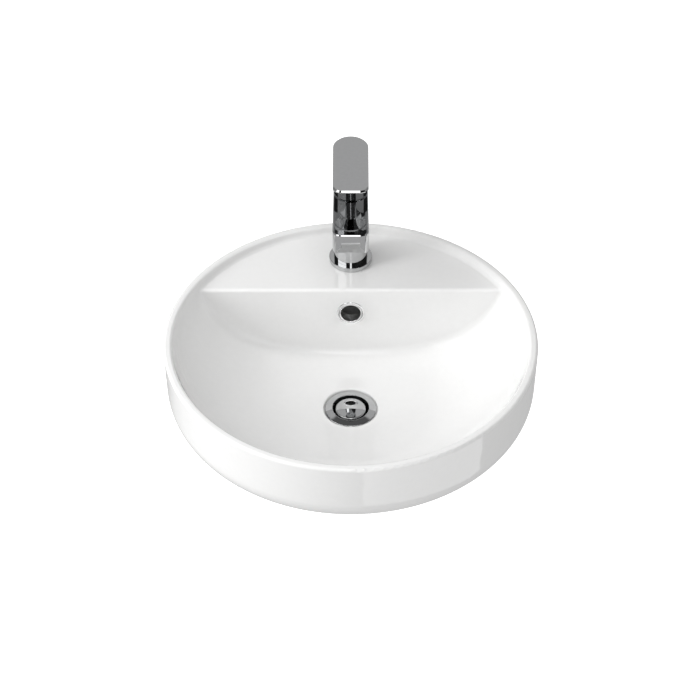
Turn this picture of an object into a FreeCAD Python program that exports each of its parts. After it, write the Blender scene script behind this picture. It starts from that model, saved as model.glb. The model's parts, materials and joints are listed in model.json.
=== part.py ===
import FreeCAD, Part
import math
import os

# Round inset wash basin with a single-lever mixer tap and a push-to-close waste.
# Origin: centre of the plane in which the basin sits on the bench top. +Z is up, the user
# stands at -Y and the tap shelf is at +Y. All sizes are in millimetres.

# Basin: skirt, rim and bowl
RIM_RADIUS = 210.0
RIM_HEIGHT = 88.0
RIM_WIDTH = 9.0
RIM_ROUND = 3.5
SKIRT_DRAFT = 3.0
SKIRT_ROUND = 36.0
SKIRT_ROUND_SINK = 1.5
CHINA_WALL = 10.0
SEAT_SETBACK = 45.0
BOWL_WALL_ANGLE = 72.0
BOWL_FLOOR_ANGLE = 4.0
BOWL_ROUND_DROP = 3.4
BOWL_DEPTH = 105.5
BENCH_CLEARANCE = 4.0

# Basin: tap shelf, back wall and overflow
SHELF_DROP = 9.0
SHELF_DEPTH = 115.0
SHELF_THICKNESS = 13.0
SHELF_EDGE_ROUND = 4.5
SHELF_CORNER_ROUND = 8.0
BACK_WALL_SLANT = 3.0
LIP_FILLET = 5.0
FOOT_FILLET = 12.0
FOOT_SPAN = 120.0
OVERFLOW_DROP = 42.8
OVERFLOW_HOLE_DIAMETER = 27.0
DUCT_WIDTH = 44.0
DUCT_DEPTH = 13.0
DUCT_WALL = 8.0
DUCT_HEAD = 18.0
DUCT_BEND_ROUND = 20.0
DUCT_EDGE_ROUND = 6.0
BOSS_RADIUS = 38.0
BOSS_DEPTH = 38.0
BOSS_EDGE_ROUND = 3.0

# Overflow trim
TRIM_DIAMETER = 32.0
TRIM_BORE = 23.0
TRIM_THICKNESS = 1.0
TRIM_ROUND = 0.4
TRIM_SLEEVE_WALL = 1.0
TRIM_SLEEVE_LENGTH = 12.0
COLLAR_LENGTH = 8.0
COLLAR_CLEARANCE = 0.1

# Tap: body, base and spout
TAP_SETBACK = 59.0
TAP_HOLE_DIAMETER = 35.0
BASE_RING_DIAMETER = 50.0
BASE_RING_HEIGHT = 2.0
BASE_RING_ROUND = 0.5
BASE_RING_FLOOR = 0.8
BASE_SEAL_THICKNESS = 0.6
BASE_SEAL_MARGIN = 1.5
COLUMN_DIAMETER = 39.0
COLUMN_CLEARANCE = 0.1
SPIGOT_DIAMETER = 33.0
SPIGOT_CLEARANCE = 0.4
SPIGOT_LENGTH = 8.0
FOOT_SOCKET_DEPTH = 8.0
FOOT_SOCKET_CLEARANCE = 0.05
BODY_HEIGHT = 126.0
SPOUT_TOP_DROP = 12.0
SPOUT_REACH = 97.4
SPOUT_WIDTH = 41.0
SPOUT_CORNER = 10.0
SPOUT_BEVEL = 1.0
SPOUT_FACE_DEPTH = 14.6
SPOUT_LIP_DEPTH = 8.4
SPOUT_LIP_SETBACK = 1.8
SPOUT_ROOT_DEPTH = 34.0
SPOUT_LIP_ROUND = 2.5
WATERWAY_RADIUS = 5.5
WATERWAY_DEPTH = 11.5

# Tap: inlets and deck fixing
INLET_THREAD = 10.0
INLET_DEPTH = 14.0
INLET_SPACING = 17.0
INLET_SETBACK = 4.0
INLET_WAY_RADIUS = 3.5
STUD_THREAD = 8.0
STUD_FORWARD = 9.5
STUD_LENGTH = 58.0
STUD_ENGAGEMENT = 16.0
CLAMP_RADIUS = 23.0
CLAMP_SLOT_WIDTH = 30.0
CLAMP_SLOT_FORWARD = 2.5
CLAMP_SLOT_ROUND = 5.0
CLAMP_GASKET_THICKNESS = 3.0
CLAMP_PLATE_THICKNESS = 2.5
CLAMP_NUT_ACROSS = 13.0
CLAMP_NUT_HEIGHT = 12.0
STUD_HOLE_CLEARANCE = 0.5

# Tap: cartridge
CHAMBER_RADIUS = 17.6
CHAMBER_DEPTH = 45.0
CARTRIDGE_CLEARANCE = 0.3
CARTRIDGE_SEAL_THICKNESS = 1.2
CARTRIDGE_BASE_HEIGHT = 4.8
CARTRIDGE_WALL = 1.3
CARTRIDGE_ROOF = 3.6
PORT_RADIUS = 3.0
PORT_CIRCLE = 9.0
FIXED_DISC_RADIUS = 14.0
FIXED_DISC_HEIGHT = 4.0
MOVING_DISC_RADIUS = 10.2
MOVING_DISC_HEIGHT = 4.0
MIXING_POCKET_RADIUS = 5.0
MIXING_POCKET_DEPTH = 1.6
DRIVER_HEIGHT = 5.0
DRIVER_SLOT_WIDTH = 6.2
DRIVER_SLOT_DEPTH = 4.0
DISC_GAP = 0.05
TURRET_FLANGE_RADIUS = 15.5
TURRET_FLANGE_HEIGHT = 3.4
TURRET_RADIUS = 11.0
TURRET_HEIGHT = 18.0
TURRET_SLOT_LENGTH = 18.6
TURRET_CLEARANCE = 0.08
PIVOT_ABOVE_DRIVER = 11.0
PIN_RADIUS = 2.0
PIN_CLEARANCE = 0.05
PIN_END_INSET = 0.4
STEM_SQUARE = 8.0
STEM_SLOT_CLEARANCE = 0.3
STEM_TIP_RADIUS = 2.6
STEM_TIP_DROP = 12.0
STEM_HEIGHT = 38.0
LOCK_NUT_HEIGHT = 9.0
LOCK_NUT_ACROSS = 26.0
LOCK_NUT_CLEARANCE = 0.1
DOME_BORE = 30.4
DOME_SLEEVE_LENGTH = 6.5
DOME_SLEEVE_CLEARANCE = 0.2

# Tap: lever
LEVER_RISE = 38.5
LEVER_WIDTH = 40.0
LEVER_REACH = 82.5
LEVER_CORNER = 10.0
LEVER_BEVEL = 1.6
LEVER_TIP_THICKNESS = 2.6
LEVER_ROOT_THICKNESS = 12.0
LEVER_GAP = 3.0
LEVER_DOME_CLEARANCE = 0.8
LEVER_SOCKET_CLEARANCE = 0.1
GRUB_THREAD = 5.0
GRUB_LENGTH = 10.0
GRUB_RISE = 21.0
GRUB_CLEARANCE = 0.05
SCREW_CAP_DIAMETER = 7.0
SCREW_CAP_DEPTH = 2.5
SCREW_CAP_CLEARANCE = 0.1

# Tap: aerator
AERATOR_SETBACK = 17.0
AERATOR_RADIUS = 11.2
AERATOR_CLEARANCE = 0.2
AERATOR_WALL = 1.4
AERATOR_HEIGHT = 11.0
AERATOR_PROUD = 1.0
AERATOR_LIP = 1.2
AERATOR_WASHER_THICKNESS = 1.5
AERATOR_INSERT_HEIGHT = 7.0
AERATOR_INSERT_CLEARANCE = 0.15
AERATOR_HOLE_RADIUS = 0.85
AERATOR_HOLE_PITCH = 2.9
AERATOR_HOLE_RINGS = 2

# Waste
WASTE_FLANGE_DIAMETER = 59.5
WASTE_FLANGE_EDGE = 2.5
WASTE_FLANGE_ROUND = 0.8
WASTE_RECESS_CLEARANCE = 1.2
WASTE_RECESS_ROUND = 2.0
WASTE_SEAL_THICKNESS = 1.5
WASTE_SEAL_MARGIN = 1.5
WASTE_HOLE_DIAMETER = 46.0
WASTE_COLLAR_CLEARANCE = 0.5
WASTE_COLLAR_DEPTH = 14.0
WASTE_THROAT_DIAMETER = 42.2
WASTE_DISH_DROP = 0.8
WASTE_CONE_DEPTH = 13.0
WASTE_TAIL_DIAMETER = 41.9
WASTE_TAIL_LENGTH = 82.5
WASTE_TAIL_WALL = 2.95
OUTLET_LENGTH = 21.0
OUTLET_CHAMFER = 1.0
THREAD_GROOVE_WIDTH = 1.6
THREAD_GROOVE_DEPTH = 0.6
WASTE_SLOT_WIDTH = 16.0
WASTE_SLOT_HEIGHT = 12.0
WASTE_SLOT_DROP = 18.5
WASTE_SLOT_COUNT = 4
SPIDER_DROP = 44.0
SPIDER_HEIGHT = 6.0
SPIDER_ARM_WIDTH = 3.6
SPIDER_ARM_COUNT = 3
SPIDER_HUB_RADIUS = 7.0
LOWER_SEAL_RADIUS = 32.0
LOWER_SEAL_HEIGHT = 7.0
LOWER_SEAL_LAND = 3.0
WASTE_WASHER_THICKNESS = 2.0
BACK_NUT_ACROSS = 56.0
BACK_NUT_HEIGHT = 10.0
BACK_NUT_COLLAR = 2.0
THREAD_CLEARANCE = 0.1

# Plug and its click mechanism
PLUG_DIAMETER = 34.8
PLUG_THICKNESS = 3.2
PLUG_EDGE_ROUND = 1.2
PLUG_CROWN_RADIUS = 140.0
PLUG_TRAVEL = 8.0
PLUG_NECK_RADIUS = 13.6
PLUG_NECK_DEPTH = 4.4
PLUG_SEAL_RADIUS = 17.6
PLUG_SEAL_HEIGHT = 3.2
PLUG_SEAL_LIP = 0.9
PLUG_SEAL_CLEARANCE = 0.1
SLEEVE_RADIUS = 7.0
SLEEVE_WALL = 1.4
SLEEVE_LENGTH = 25.0
SLEEVE_ROOF = 2.0
CORE_CLEARANCE = 0.2
CORE_THREAD = 8.0
SPRING_TURNS = 5
SPRING_WIRE = 0.9
SPRING_CLEARANCE = 0.5
SPRING_CLOSED_LENGTH = 7.0
SPRING_END_GAP = 0.3

# Heights, places and radii that follow from the sizes above
RIM_INNER_RADIUS = RIM_RADIUS - RIM_WIDTH
RIM_MIDDLE_RADIUS = RIM_RADIUS - RIM_WIDTH / 2
SEAT_INNER_RADIUS = RIM_RADIUS - SEAT_SETBACK
SHELF_FRONT_Y = RIM_RADIUS - SHELF_DEPTH
TAP_Y = RIM_RADIUS - TAP_SETBACK
SKIRT_FOOT_RADIUS = RIM_RADIUS - SKIRT_DRAFT
SHELF_Z = RIM_HEIGHT - SHELF_DROP
FLOOR_Z = RIM_HEIGHT - BOWL_DEPTH
OVERFLOW_Z = RIM_HEIGHT - OVERFLOW_DROP
RECESS_RADIUS = WASTE_FLANGE_DIAMETER / 2 + WASTE_RECESS_CLEARANCE
WASTE_SEAT_Z = FLOOR_Z - WASTE_FLANGE_EDGE - WASTE_SEAL_THICKNESS
BOSS_Z = FLOOR_Z - BOSS_DEPTH
COLUMN_RADIUS = COLUMN_DIAMETER / 2
RING_Z = SHELF_Z + BASE_SEAL_THICKNESS
BODY_Z = RING_Z + BASE_RING_FLOOR
SPIGOT_Z = RING_Z - SPIGOT_LENGTH
FOOT_TOP_Z = BODY_Z + FOOT_SOCKET_DEPTH
BODY_TOP_Z = SHELF_Z + BODY_HEIGHT
SPOUT_TOP_Z = BODY_TOP_Z - SPOUT_TOP_DROP
SPOUT_FRONT_Y = TAP_Y - SPOUT_REACH
CHAMBER_Z = BODY_TOP_Z - CHAMBER_DEPTH
CARTRIDGE_RADIUS = CHAMBER_RADIUS - CARTRIDGE_CLEARANCE
CARTRIDGE_BASE_Z = CHAMBER_Z + CARTRIDGE_SEAL_THICKNESS
FIXED_DISC_Z = CARTRIDGE_BASE_Z + CARTRIDGE_BASE_HEIGHT
MOVING_DISC_Z = FIXED_DISC_Z + FIXED_DISC_HEIGHT + DISC_GAP
DRIVER_Z = MOVING_DISC_Z + MOVING_DISC_HEIGHT
DRIVER_TOP_Z = DRIVER_Z + DRIVER_HEIGHT
TURRET_Z = DRIVER_TOP_Z + TURRET_CLEARANCE
ROOF_Z = TURRET_Z + TURRET_FLANGE_HEIGHT + TURRET_CLEARANCE
CARTRIDGE_TOP_Z = ROOF_Z + CARTRIDGE_ROOF
PIVOT_Z = DRIVER_TOP_Z + PIVOT_ABOVE_DRIVER
DOME_RADIUS = math.hypot(COLUMN_RADIUS, BODY_TOP_Z - PIVOT_Z)
LEVER_TOP_Z = BODY_TOP_Z + LEVER_RISE
LEVER_HUB_Z = BODY_TOP_Z + LEVER_GAP
LEVER_FRONT_Y = TAP_Y - LEVER_REACH
STEM_TOP_Z = PIVOT_Z + STEM_HEIGHT
GRUB_Z = BODY_TOP_Z + GRUB_RISE
AERATOR_Y = SPOUT_FRONT_Y + AERATOR_SETBACK
FLANGE_TOP_Z = FLOOR_Z
FLANGE_Z = WASTE_SEAT_Z + WASTE_SEAL_THICKNESS
TAIL_RADIUS = WASTE_TAIL_DIAMETER / 2
TAIL_BORE = TAIL_RADIUS - WASTE_TAIL_WALL
TAIL_Z = FLANGE_TOP_Z - WASTE_TAIL_LENGTH
SPIDER_Z = FLANGE_TOP_Z - SPIDER_DROP
LOWER_SEAL_Z = BOSS_Z - LOWER_SEAL_HEIGHT
WASHER_Z = LOWER_SEAL_Z - WASTE_WASHER_THICKNESS
PLUG_TOP_Z = FLANGE_TOP_Z
PLUG_UNDER_Z = PLUG_TOP_Z - PLUG_THICKNESS
SLEEVE_TOP_Z = PLUG_UNDER_Z - PLUG_NECK_DEPTH
SLEEVE_Z = SLEEVE_TOP_Z - SLEEVE_LENGTH
SLEEVE_BORE = SLEEVE_RADIUS - SLEEVE_WALL
SPRING_TOP_Z = SLEEVE_TOP_Z - SLEEVE_ROOF
SPRING_REST_LENGTH = SPRING_CLOSED_LENGTH + PLUG_TRAVEL
CORE_TOP_Z = SPRING_TOP_Z - SPRING_REST_LENGTH

Vector = FreeCAD.Vector
UP = Vector(0, 0, 1)
ACROSS = Vector(1, 0, 0)
BACK = Vector(0, 1, 0)
WIDE = 2 * RIM_RADIUS
DEEP = 2 * RIM_HEIGHT


def tan(degrees):
    return math.tan(math.radians(degrees))


def cos(degrees):
    return math.cos(math.radians(degrees))


def sin(degrees):
    return math.sin(math.radians(degrees))


def outline(corners, to_space):
    """Closed wire through (u, v, round) corners, each round a tangent arc."""
    count = len(corners)
    joins = []
    for index, (u, v, rounding) in enumerate(corners):
        here = Vector(u, v, 0)
        if rounding == 0:
            joins.append((here, None, here))
            continue
        before = Vector(*corners[index - 1][:2], 0) - here
        after = Vector(*corners[(index + 1) % count][:2], 0) - here
        before.normalize()
        after.normalize()
        half_angle = before.getAngle(after) / 2
        inward = before + after
        inward.normalize()
        reach = rounding / math.tan(half_angle)
        middle = here + inward * (rounding / math.sin(half_angle) - rounding)
        joins.append((here + before * reach, middle, here + after * reach))
    edges = []
    for index, (start, middle, end) in enumerate(joins):
        if middle is not None:
            edges.append(Part.Arc(to_space(start), to_space(middle), to_space(end)).toShape())
        following = joins[(index + 1) % count][0]
        if end.distanceToPoint(following) > 1e-6:
            edges.append(Part.makeLine(to_space(end), to_space(following)))
    return Part.Wire(edges)


def turned(corners, y=0.0):
    """Solid of revolution of an (r, z, round) outline about the upright axis through y."""
    wire = outline(corners, lambda p: Vector(p.x, y, p.y))
    return Part.Face(wire).revolve(Vector(0, y, 0), UP, 360)


def slab_x(corners, half_width):
    """Solid of a (y, z, round) outline, carried across from -half_width to +half_width."""
    wire = outline(corners, lambda p: Vector(-half_width, p.x, p.y))
    return Part.Face(wire).extrude(ACROSS * (2 * half_width))


def slab_z(corners, bottom, top):
    """Solid of an (x, y, round) outline, carried up from bottom to top."""
    wire = outline(corners, lambda p: Vector(p.x, p.y, bottom))
    return Part.Face(wire).extrude(UP * (top - bottom))


def rod(radius, bottom, top, x=0.0, y=0.0):
    """Upright cylinder."""
    return Part.makeCylinder(radius, top - bottom, Vector(x, y, bottom))


def tube(outer, inner, bottom, top, y=0.0):
    """Upright ring."""
    return rod(outer, bottom, top, y=y).cut(rod(inner, bottom, top, y=y))


def hexagon(across, bottom, top, x=0.0, y=0.0):
    """Upright hexagonal prism, given by its width across the flats."""
    radius = across / 2 / cos(30)
    corners = []
    for side in range(6):
        corners.append((x + radius * cos(60 * side), y + radius * sin(60 * side), 0))
    return slab_z(corners, bottom, top)


def spun(shape, degrees, y=0.0):
    """Copy of a shape turned about the upright axis through y."""
    copy = shape.copy()
    copy.rotate(Vector(0, y, 0), UP, degrees)
    return copy


def wall_y(z):
    """Front face of the slanted back wall at height z."""
    return SHELF_FRONT_Y - (SHELF_Z - z) * tan(BACK_WALL_SLANT)


def wall_back_y(z):
    """Rear face of the slanted back wall at height z."""
    return wall_y(z) + CHINA_WALL / cos(BACK_WALL_SLANT)


def bowl_corner(offset):
    """Point where the bowl's floor and side lines would meet, moved out by a wall thickness."""
    floor_rise = tan(BOWL_FLOOR_ANGLE)
    side_rise = tan(BOWL_WALL_ANGLE)
    floor_z = FLOOR_Z - offset / cos(BOWL_FLOOR_ANGLE)
    rim_radius = RIM_INNER_RADIUS + offset / sin(BOWL_WALL_ANGLE)
    height = RIM_HEIGHT - floor_z + RECESS_RADIUS * floor_rise
    radius = (rim_radius - height / side_rise) / (1 - floor_rise / side_rise)
    return radius, floor_z + (radius - RECESS_RADIUS) * floor_rise


def bowl_round():
    """Radius between the bowl's floor and side that ends a little under the shelf."""
    corner_z = bowl_corner(0)[1]
    side_length = (SHELF_Z - BOWL_ROUND_DROP - corner_z) / sin(BOWL_WALL_ANGLE)
    return side_length / tan((BOWL_WALL_ANGLE - BOWL_FLOOR_ANGLE) / 2)


def bowl_hollow():
    """Everything above the glazed inside: the bowl, the back wall and the sunk tap shelf."""
    corner_r, corner_z = bowl_corner(0)
    dish = turned([
        (0, WASTE_SEAT_Z, 0),
        (RECESS_RADIUS, WASTE_SEAT_Z, 0),
        (RECESS_RADIUS, FLOOR_Z, WASTE_RECESS_ROUND),
        (corner_r, corner_z, bowl_round()),
        (RIM_INNER_RADIUS, RIM_HEIGHT, RIM_ROUND),
        (RIM_MIDDLE_RADIUS, RIM_HEIGHT, 0),
        (RIM_MIDDLE_RADIUS, DEEP, 0),
        (0, DEEP, 0),
    ])
    front = slab_x([
        (-WIDE, -DEEP, 0),
        (wall_y(-DEEP), -DEEP, 0),
        (SHELF_FRONT_Y, SHELF_Z, SHELF_EDGE_ROUND),
        (WIDE, SHELF_Z, 0),
        (WIDE, 2 * DEEP, 0),
        (-WIDE, 2 * DEEP, 0),
    ], WIDE)
    hollow = dish.common(front)
    middle = Part.makeBox(FOOT_SPAN, 2 * WIDE, 4 * DEEP, Vector(-FOOT_SPAN / 2, -WIDE, -2 * DEEP))
    parted = hollow.cut(middle).fuse(hollow.common(middle))
    return rounded_foot(parted, dish, front)


def rounded_foot(hollow, dish, front):
    """Round the line where the back wall and the shelf run into the turned bowl."""
    document = FreeCAD.newDocument("bowl")
    base = document.addObject("Part::Feature", "hollow")
    base.Shape = hollow
    rounds = []
    for number, edge in enumerate(hollow.Edges, 1):
        middle = edge.valueAt((edge.FirstParameter + edge.LastParameter) / 2)
        point = Part.Vertex(middle)
        on_front = point.distToShape(front.Shells[0])[0] < 1e-4
        on_dish = point.distToShape(dish.Shells[0])[0] < 1e-4
        if on_front and on_dish:
            start = foot_radius(edge.valueAt(edge.FirstParameter))
            end = foot_radius(edge.valueAt(edge.LastParameter))
            rounds.append((number, start, end))
    fillet = document.addObject("Part::Fillet", "rounded")
    fillet.Base = base
    fillet.Edges = rounds
    document.recompute()
    shape = fillet.Shape.copy()
    FreeCAD.closeDocument(document.Name)
    return shape


def foot_radius(point):
    """Inside round along the bowl line: small at the shelf, full at the foot of the back wall."""
    depth = (SHELF_Z - point.z) / (SHELF_Z - FLOOR_Z)
    share = min(max(depth, 0.0), 1.0)
    return LIP_FILLET + (FOOT_FILLET - LIP_FILLET) * share


def skirt_outline(inset):
    """Outer line of the skirt from the bench to the rim, moved in by a wall thickness."""
    return [
        (SKIRT_FOOT_RADIUS - inset, inset - SKIRT_ROUND_SINK, SKIRT_ROUND - inset),
        (RIM_RADIUS - inset, RIM_HEIGHT, 0 if inset else RIM_ROUND),
    ]


def skirt():
    """Skirt and rim: the upright outer wall with its turned-in seat on the bench."""
    rim_block_z = SHELF_Z - SHELF_THICKNESS
    block_radius = RIM_INNER_RADIUS - RIM_WIDTH
    outer = turned([(0, -SKIRT_ROUND_SINK, 0)] + skirt_outline(0) + [(0, RIM_HEIGHT, 0)])
    inner = turned([(0, CHINA_WALL - SKIRT_ROUND_SINK, 0)] + skirt_outline(CHINA_WALL) + [(0, RIM_HEIGHT, 0)])
    core = inner.cut(tube(RIM_RADIUS, block_radius, rim_block_z, DEEP))
    access = turned([
        (0, -DEEP, 0),
        (SEAT_INNER_RADIUS, -DEEP, 0),
        (SEAT_INNER_RADIUS, DEEP, 0),
        (0, DEEP, 0),
    ])
    below = Part.makeBox(2 * WIDE, 2 * WIDE, DEEP, Vector(-WIDE, -WIDE, -DEEP))
    return outer.cut(core).cut(access).cut(below)


def bowl_block():
    """Outside of the bowl, back wall and shelf, before the hollow is taken out."""
    corner_r, corner_z = bowl_corner(CHINA_WALL)
    floor_rise = tan(BOWL_FLOOR_ANGLE)
    top = RIM_HEIGHT - RIM_ROUND
    side_r = corner_r + (top - corner_z) / tan(BOWL_WALL_ANGLE)
    block = turned([
        (0, corner_z - corner_r * floor_rise, 0),
        (corner_r, corner_z, bowl_round() + CHINA_WALL),
        (side_r, top, 0),
        (0, top, 0),
    ])
    shelf_under = SHELF_Z - SHELF_THICKNESS
    front = slab_x([
        (-WIDE, -DEEP, 0),
        (wall_back_y(-DEEP), -DEEP, 0),
        (wall_back_y(shelf_under), shelf_under, SHELF_CORNER_ROUND),
        (WIDE, shelf_under, 0),
        (WIDE, 2 * DEEP, 0),
        (-WIDE, 2 * DEEP, 0),
    ], WIDE)
    passing = rod(SEAT_INNER_RADIUS - BENCH_CLEARANCE, -DEEP, 0)
    above = turned([(0, 0, 0), (SEAT_INNER_RADIUS, 0, 0)] + skirt_outline(0) + [(0, RIM_HEIGHT, 0)])
    return block.common(front).common(passing.fuse(above))


def duct(growth):
    """Overflow duct behind the back wall and under the floor, grown by its wall thickness."""
    roof = FLOOR_Z - CHINA_WALL
    bed = roof - DUCT_DEPTH - growth
    head = OVERFLOW_Z + DUCT_HEAD + growth
    back = DUCT_DEPTH + growth
    lead = growth / 2
    solid = slab_x([
        (wall_back_y(head) - lead, head, 0),
        (wall_back_y(head) + back, head, 0),
        (wall_back_y(bed) + back, bed, DUCT_BEND_ROUND),
        (0, bed, 0),
        (0, roof + lead, 0),
        (wall_back_y(roof) - lead, roof + lead, 0),
    ], DUCT_WIDTH / 2 + growth)
    if growth == 0:
        return solid
    outer_edges = []
    for edge in solid.Edges:
        middle = edge.valueAt((edge.FirstParameter + edge.LastParameter) / 2)
        on_side = abs(abs(middle.x) - DUCT_WIDTH / 2 - growth) < 1e-6
        behind = middle.y > wall_back_y(middle.z) + back / 2 and middle.z < head - 1e-6
        beneath = middle.z < bed + 1e-6 and middle.y > 1e-6
        if on_side and (behind or beneath):
            outer_edges.append(edge)
    return solid.makeFillet(DUCT_EDGE_ROUND, outer_edges)


def overflow_frame(shape):
    """Move a shape made about +Z at the origin on to the overflow hole's axis."""
    shape.rotate(Vector(0, 0, 0), ACROSS, 90 - BACK_WALL_SLANT)
    shape.translate(Vector(0, wall_y(OVERFLOW_Z), OVERFLOW_Z))
    return shape


def basin_body():
    """One piece of glazed china with its tap hole, overflow duct and waste hole."""
    boss = turned([
        (0, BOSS_Z, 0),
        (BOSS_RADIUS, BOSS_Z, BOSS_EDGE_ROUND),
        (BOSS_RADIUS, FLOOR_Z - CHINA_WALL / 2, 0),
        (0, FLOOR_Z - CHINA_WALL / 2, 0),
    ])
    china = skirt().fuse([bowl_block(), boss, duct(DUCT_WALL)])
    china = china.cut(bowl_hollow())
    china = china.cut(duct(0))
    china = china.cut(rod(WASTE_HOLE_DIAMETER / 2, BOSS_Z, FLOOR_Z))
    china = china.cut(rod(TAP_HOLE_DIAMETER / 2, SHELF_Z - 2 * SHELF_THICKNESS, SHELF_Z, y=TAP_Y))
    hole = rod(OVERFLOW_HOLE_DIAMETER / 2, -CHINA_WALL - DUCT_DEPTH / 2, CHINA_WALL)
    china = china.cut(overflow_frame(hole))
    return china.removeSplitter()


def overflow_ring():
    """Chrome trim that lines the overflow hole."""
    bore = TRIM_BORE / 2
    ring = turned([
        (bore, -TRIM_SLEEVE_LENGTH, 0),
        (bore + TRIM_SLEEVE_WALL, -TRIM_SLEEVE_LENGTH, 0),
        (bore + TRIM_SLEEVE_WALL, 0, 0),
        (TRIM_DIAMETER / 2, 0, 0),
        (TRIM_DIAMETER / 2, TRIM_THICKNESS, TRIM_ROUND),
        (bore, TRIM_THICKNESS, TRIM_ROUND),
    ])
    return overflow_frame(ring)


def overflow_collar():
    """Soft collar that grips the trim's sleeve in the china."""
    inner = TRIM_BORE / 2 + TRIM_SLEEVE_WALL + COLLAR_CLEARANCE
    outer = OVERFLOW_HOLE_DIAMETER / 2 - COLLAR_CLEARANCE
    return overflow_frame(tube(outer, inner, -COLLAR_LENGTH, 0))


def tap_base_seal():
    """Flat gasket between the china and the base ring."""
    bore = (SPIGOT_DIAMETER + SPIGOT_CLEARANCE) / 2
    return tube(BASE_RING_DIAMETER / 2 - BASE_SEAL_MARGIN, bore, SHELF_Z, RING_Z, y=TAP_Y)


def tap_base_ring():
    """Low flat ring in which the column stands."""
    seat = COLUMN_RADIUS + COLUMN_CLEARANCE
    bore = (SPIGOT_DIAMETER + SPIGOT_CLEARANCE) / 2
    top = RING_Z + BASE_RING_HEIGHT
    return turned([
        (bore, RING_Z, 0),
        (BASE_RING_DIAMETER / 2, RING_Z, 0),
        (BASE_RING_DIAMETER / 2, top, BASE_RING_ROUND),
        (seat, top, 0),
        (seat, BODY_Z, 0),
        (bore, BODY_Z, 0),
    ], TAP_Y)


def spout_under(y):
    """Height of the spout's rising underside at y."""
    root_z = SPOUT_TOP_Z - SPOUT_ROOT_DEPTH
    front_z = SPOUT_TOP_Z - SPOUT_FACE_DEPTH - SPOUT_LIP_DEPTH
    return root_z + (front_z - root_z) * (TAP_Y - y) / SPOUT_REACH


def spout_block():
    """Spout with a bevelled flat top, round-cornered end and rising underside."""
    half = SPOUT_WIDTH / 2
    plan = slab_z([
        (-COLUMN_RADIUS, TAP_Y, 0),
        (-half, SPOUT_FRONT_Y, SPOUT_CORNER),
        (half, SPOUT_FRONT_Y, SPOUT_CORNER),
        (COLUMN_RADIUS, TAP_Y, 0),
    ], SPOUT_TOP_Z - 2 * SPOUT_ROOT_DEPTH, SPOUT_TOP_Z)
    top_edges = []
    for edge in plan.Edges:
        middle = edge.valueAt((edge.FirstParameter + edge.LastParameter) / 2)
        if middle.z > SPOUT_TOP_Z - 1e-6 and middle.y < TAP_Y - 1e-6:
            top_edges.append(edge)
    bevelled = plan.makeChamfer(SPOUT_BEVEL, top_edges)
    side = slab_x([
        (TAP_Y, spout_under(TAP_Y), 0),
        (SPOUT_FRONT_Y + SPOUT_LIP_SETBACK, spout_under(SPOUT_FRONT_Y), SPOUT_LIP_ROUND),
        (SPOUT_FRONT_Y, SPOUT_TOP_Z - SPOUT_FACE_DEPTH, 0),
        (SPOUT_FRONT_Y, SPOUT_TOP_Z, 0),
        (TAP_Y, SPOUT_TOP_Z, 0),
    ], SPOUT_WIDTH)
    return bevelled.common(side)


def inlet_rods(radius, bottom, top):
    """The two upright cylinders on the axes of the hot and cold inlets."""
    inlet_y = TAP_Y + INLET_SETBACK
    return [rod(radius, bottom, top, side * INLET_SPACING / 2, inlet_y) for side in (-1, 1)]


def tap_foot():
    """Brass foot of the body with its two threaded inlets and the stud's hole."""
    foot = rod(SPIGOT_DIAMETER / 2, SPIGOT_Z, FOOT_TOP_Z, y=TAP_Y)
    foot = foot.cut(inlet_rods(INLET_THREAD / 2, SPIGOT_Z, SPIGOT_Z + INLET_DEPTH))
    foot = foot.cut(inlet_rods(INLET_WAY_RADIUS, SPIGOT_Z, FOOT_TOP_Z))
    return foot.cut(rod(STUD_THREAD / 2, SPIGOT_Z, SPIGOT_Z + STUD_ENGAGEMENT, y=TAP_Y - STUD_FORWARD))


def tap_body():
    """Cast column and spout with the cartridge chamber, the waterways and the foot's socket."""
    column = rod(COLUMN_RADIUS, BODY_Z, BODY_TOP_Z, y=TAP_Y)
    body = column.fuse(spout_block())
    body = body.cut(rod(CHAMBER_RADIUS, CHAMBER_Z, BODY_TOP_Z, y=TAP_Y))
    body = body.cut(rod(SPIGOT_DIAMETER / 2 + FOOT_SOCKET_CLEARANCE, BODY_Z, FOOT_TOP_Z, y=TAP_Y))
    way_z = SPOUT_TOP_Z - WATERWAY_DEPTH
    way_length = TAP_Y - AERATOR_Y
    body = body.cut(Part.makeCylinder(WATERWAY_RADIUS, way_length, Vector(0, AERATOR_Y, way_z), BACK))
    recess_z = spout_under(TAP_Y)
    body = body.cut(rod(AERATOR_RADIUS + AERATOR_CLEARANCE, recess_z, aerator_top(), y=AERATOR_Y))
    return body.cut(inlet_rods(INLET_WAY_RADIUS, FOOT_TOP_Z, CHAMBER_Z))


def mounting_stud():
    """Threaded stud that pulls the tap down on the shelf."""
    top = SPIGOT_Z + STUD_ENGAGEMENT
    return rod(STUD_THREAD / 2 - THREAD_CLEARANCE, top - STUD_LENGTH, top, y=TAP_Y - STUD_FORWARD)


def clamp_crescent(bottom, top):
    """Crescent about the tap axis, open at the back for the two inlets, with the stud's hole."""
    disc = rod(CLAMP_RADIUS, bottom, top, y=TAP_Y)
    half = CLAMP_SLOT_WIDTH / 2
    slot_y = TAP_Y - CLAMP_SLOT_FORWARD
    slot = slab_z([
        (-half, slot_y, CLAMP_SLOT_ROUND),
        (half, slot_y, CLAMP_SLOT_ROUND),
        (half, slot_y + 2 * CLAMP_RADIUS, 0),
        (-half, slot_y + 2 * CLAMP_RADIUS, 0),
    ], bottom, top)
    hole = rod(STUD_THREAD / 2 + STUD_HOLE_CLEARANCE, bottom, top, y=TAP_Y - STUD_FORWARD)
    return disc.cut(slot).cut(hole)


def clamp_gasket():
    """Rubber crescent under the shelf."""
    top = SHELF_Z - SHELF_THICKNESS
    return clamp_crescent(top - CLAMP_GASKET_THICKNESS, top)


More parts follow.
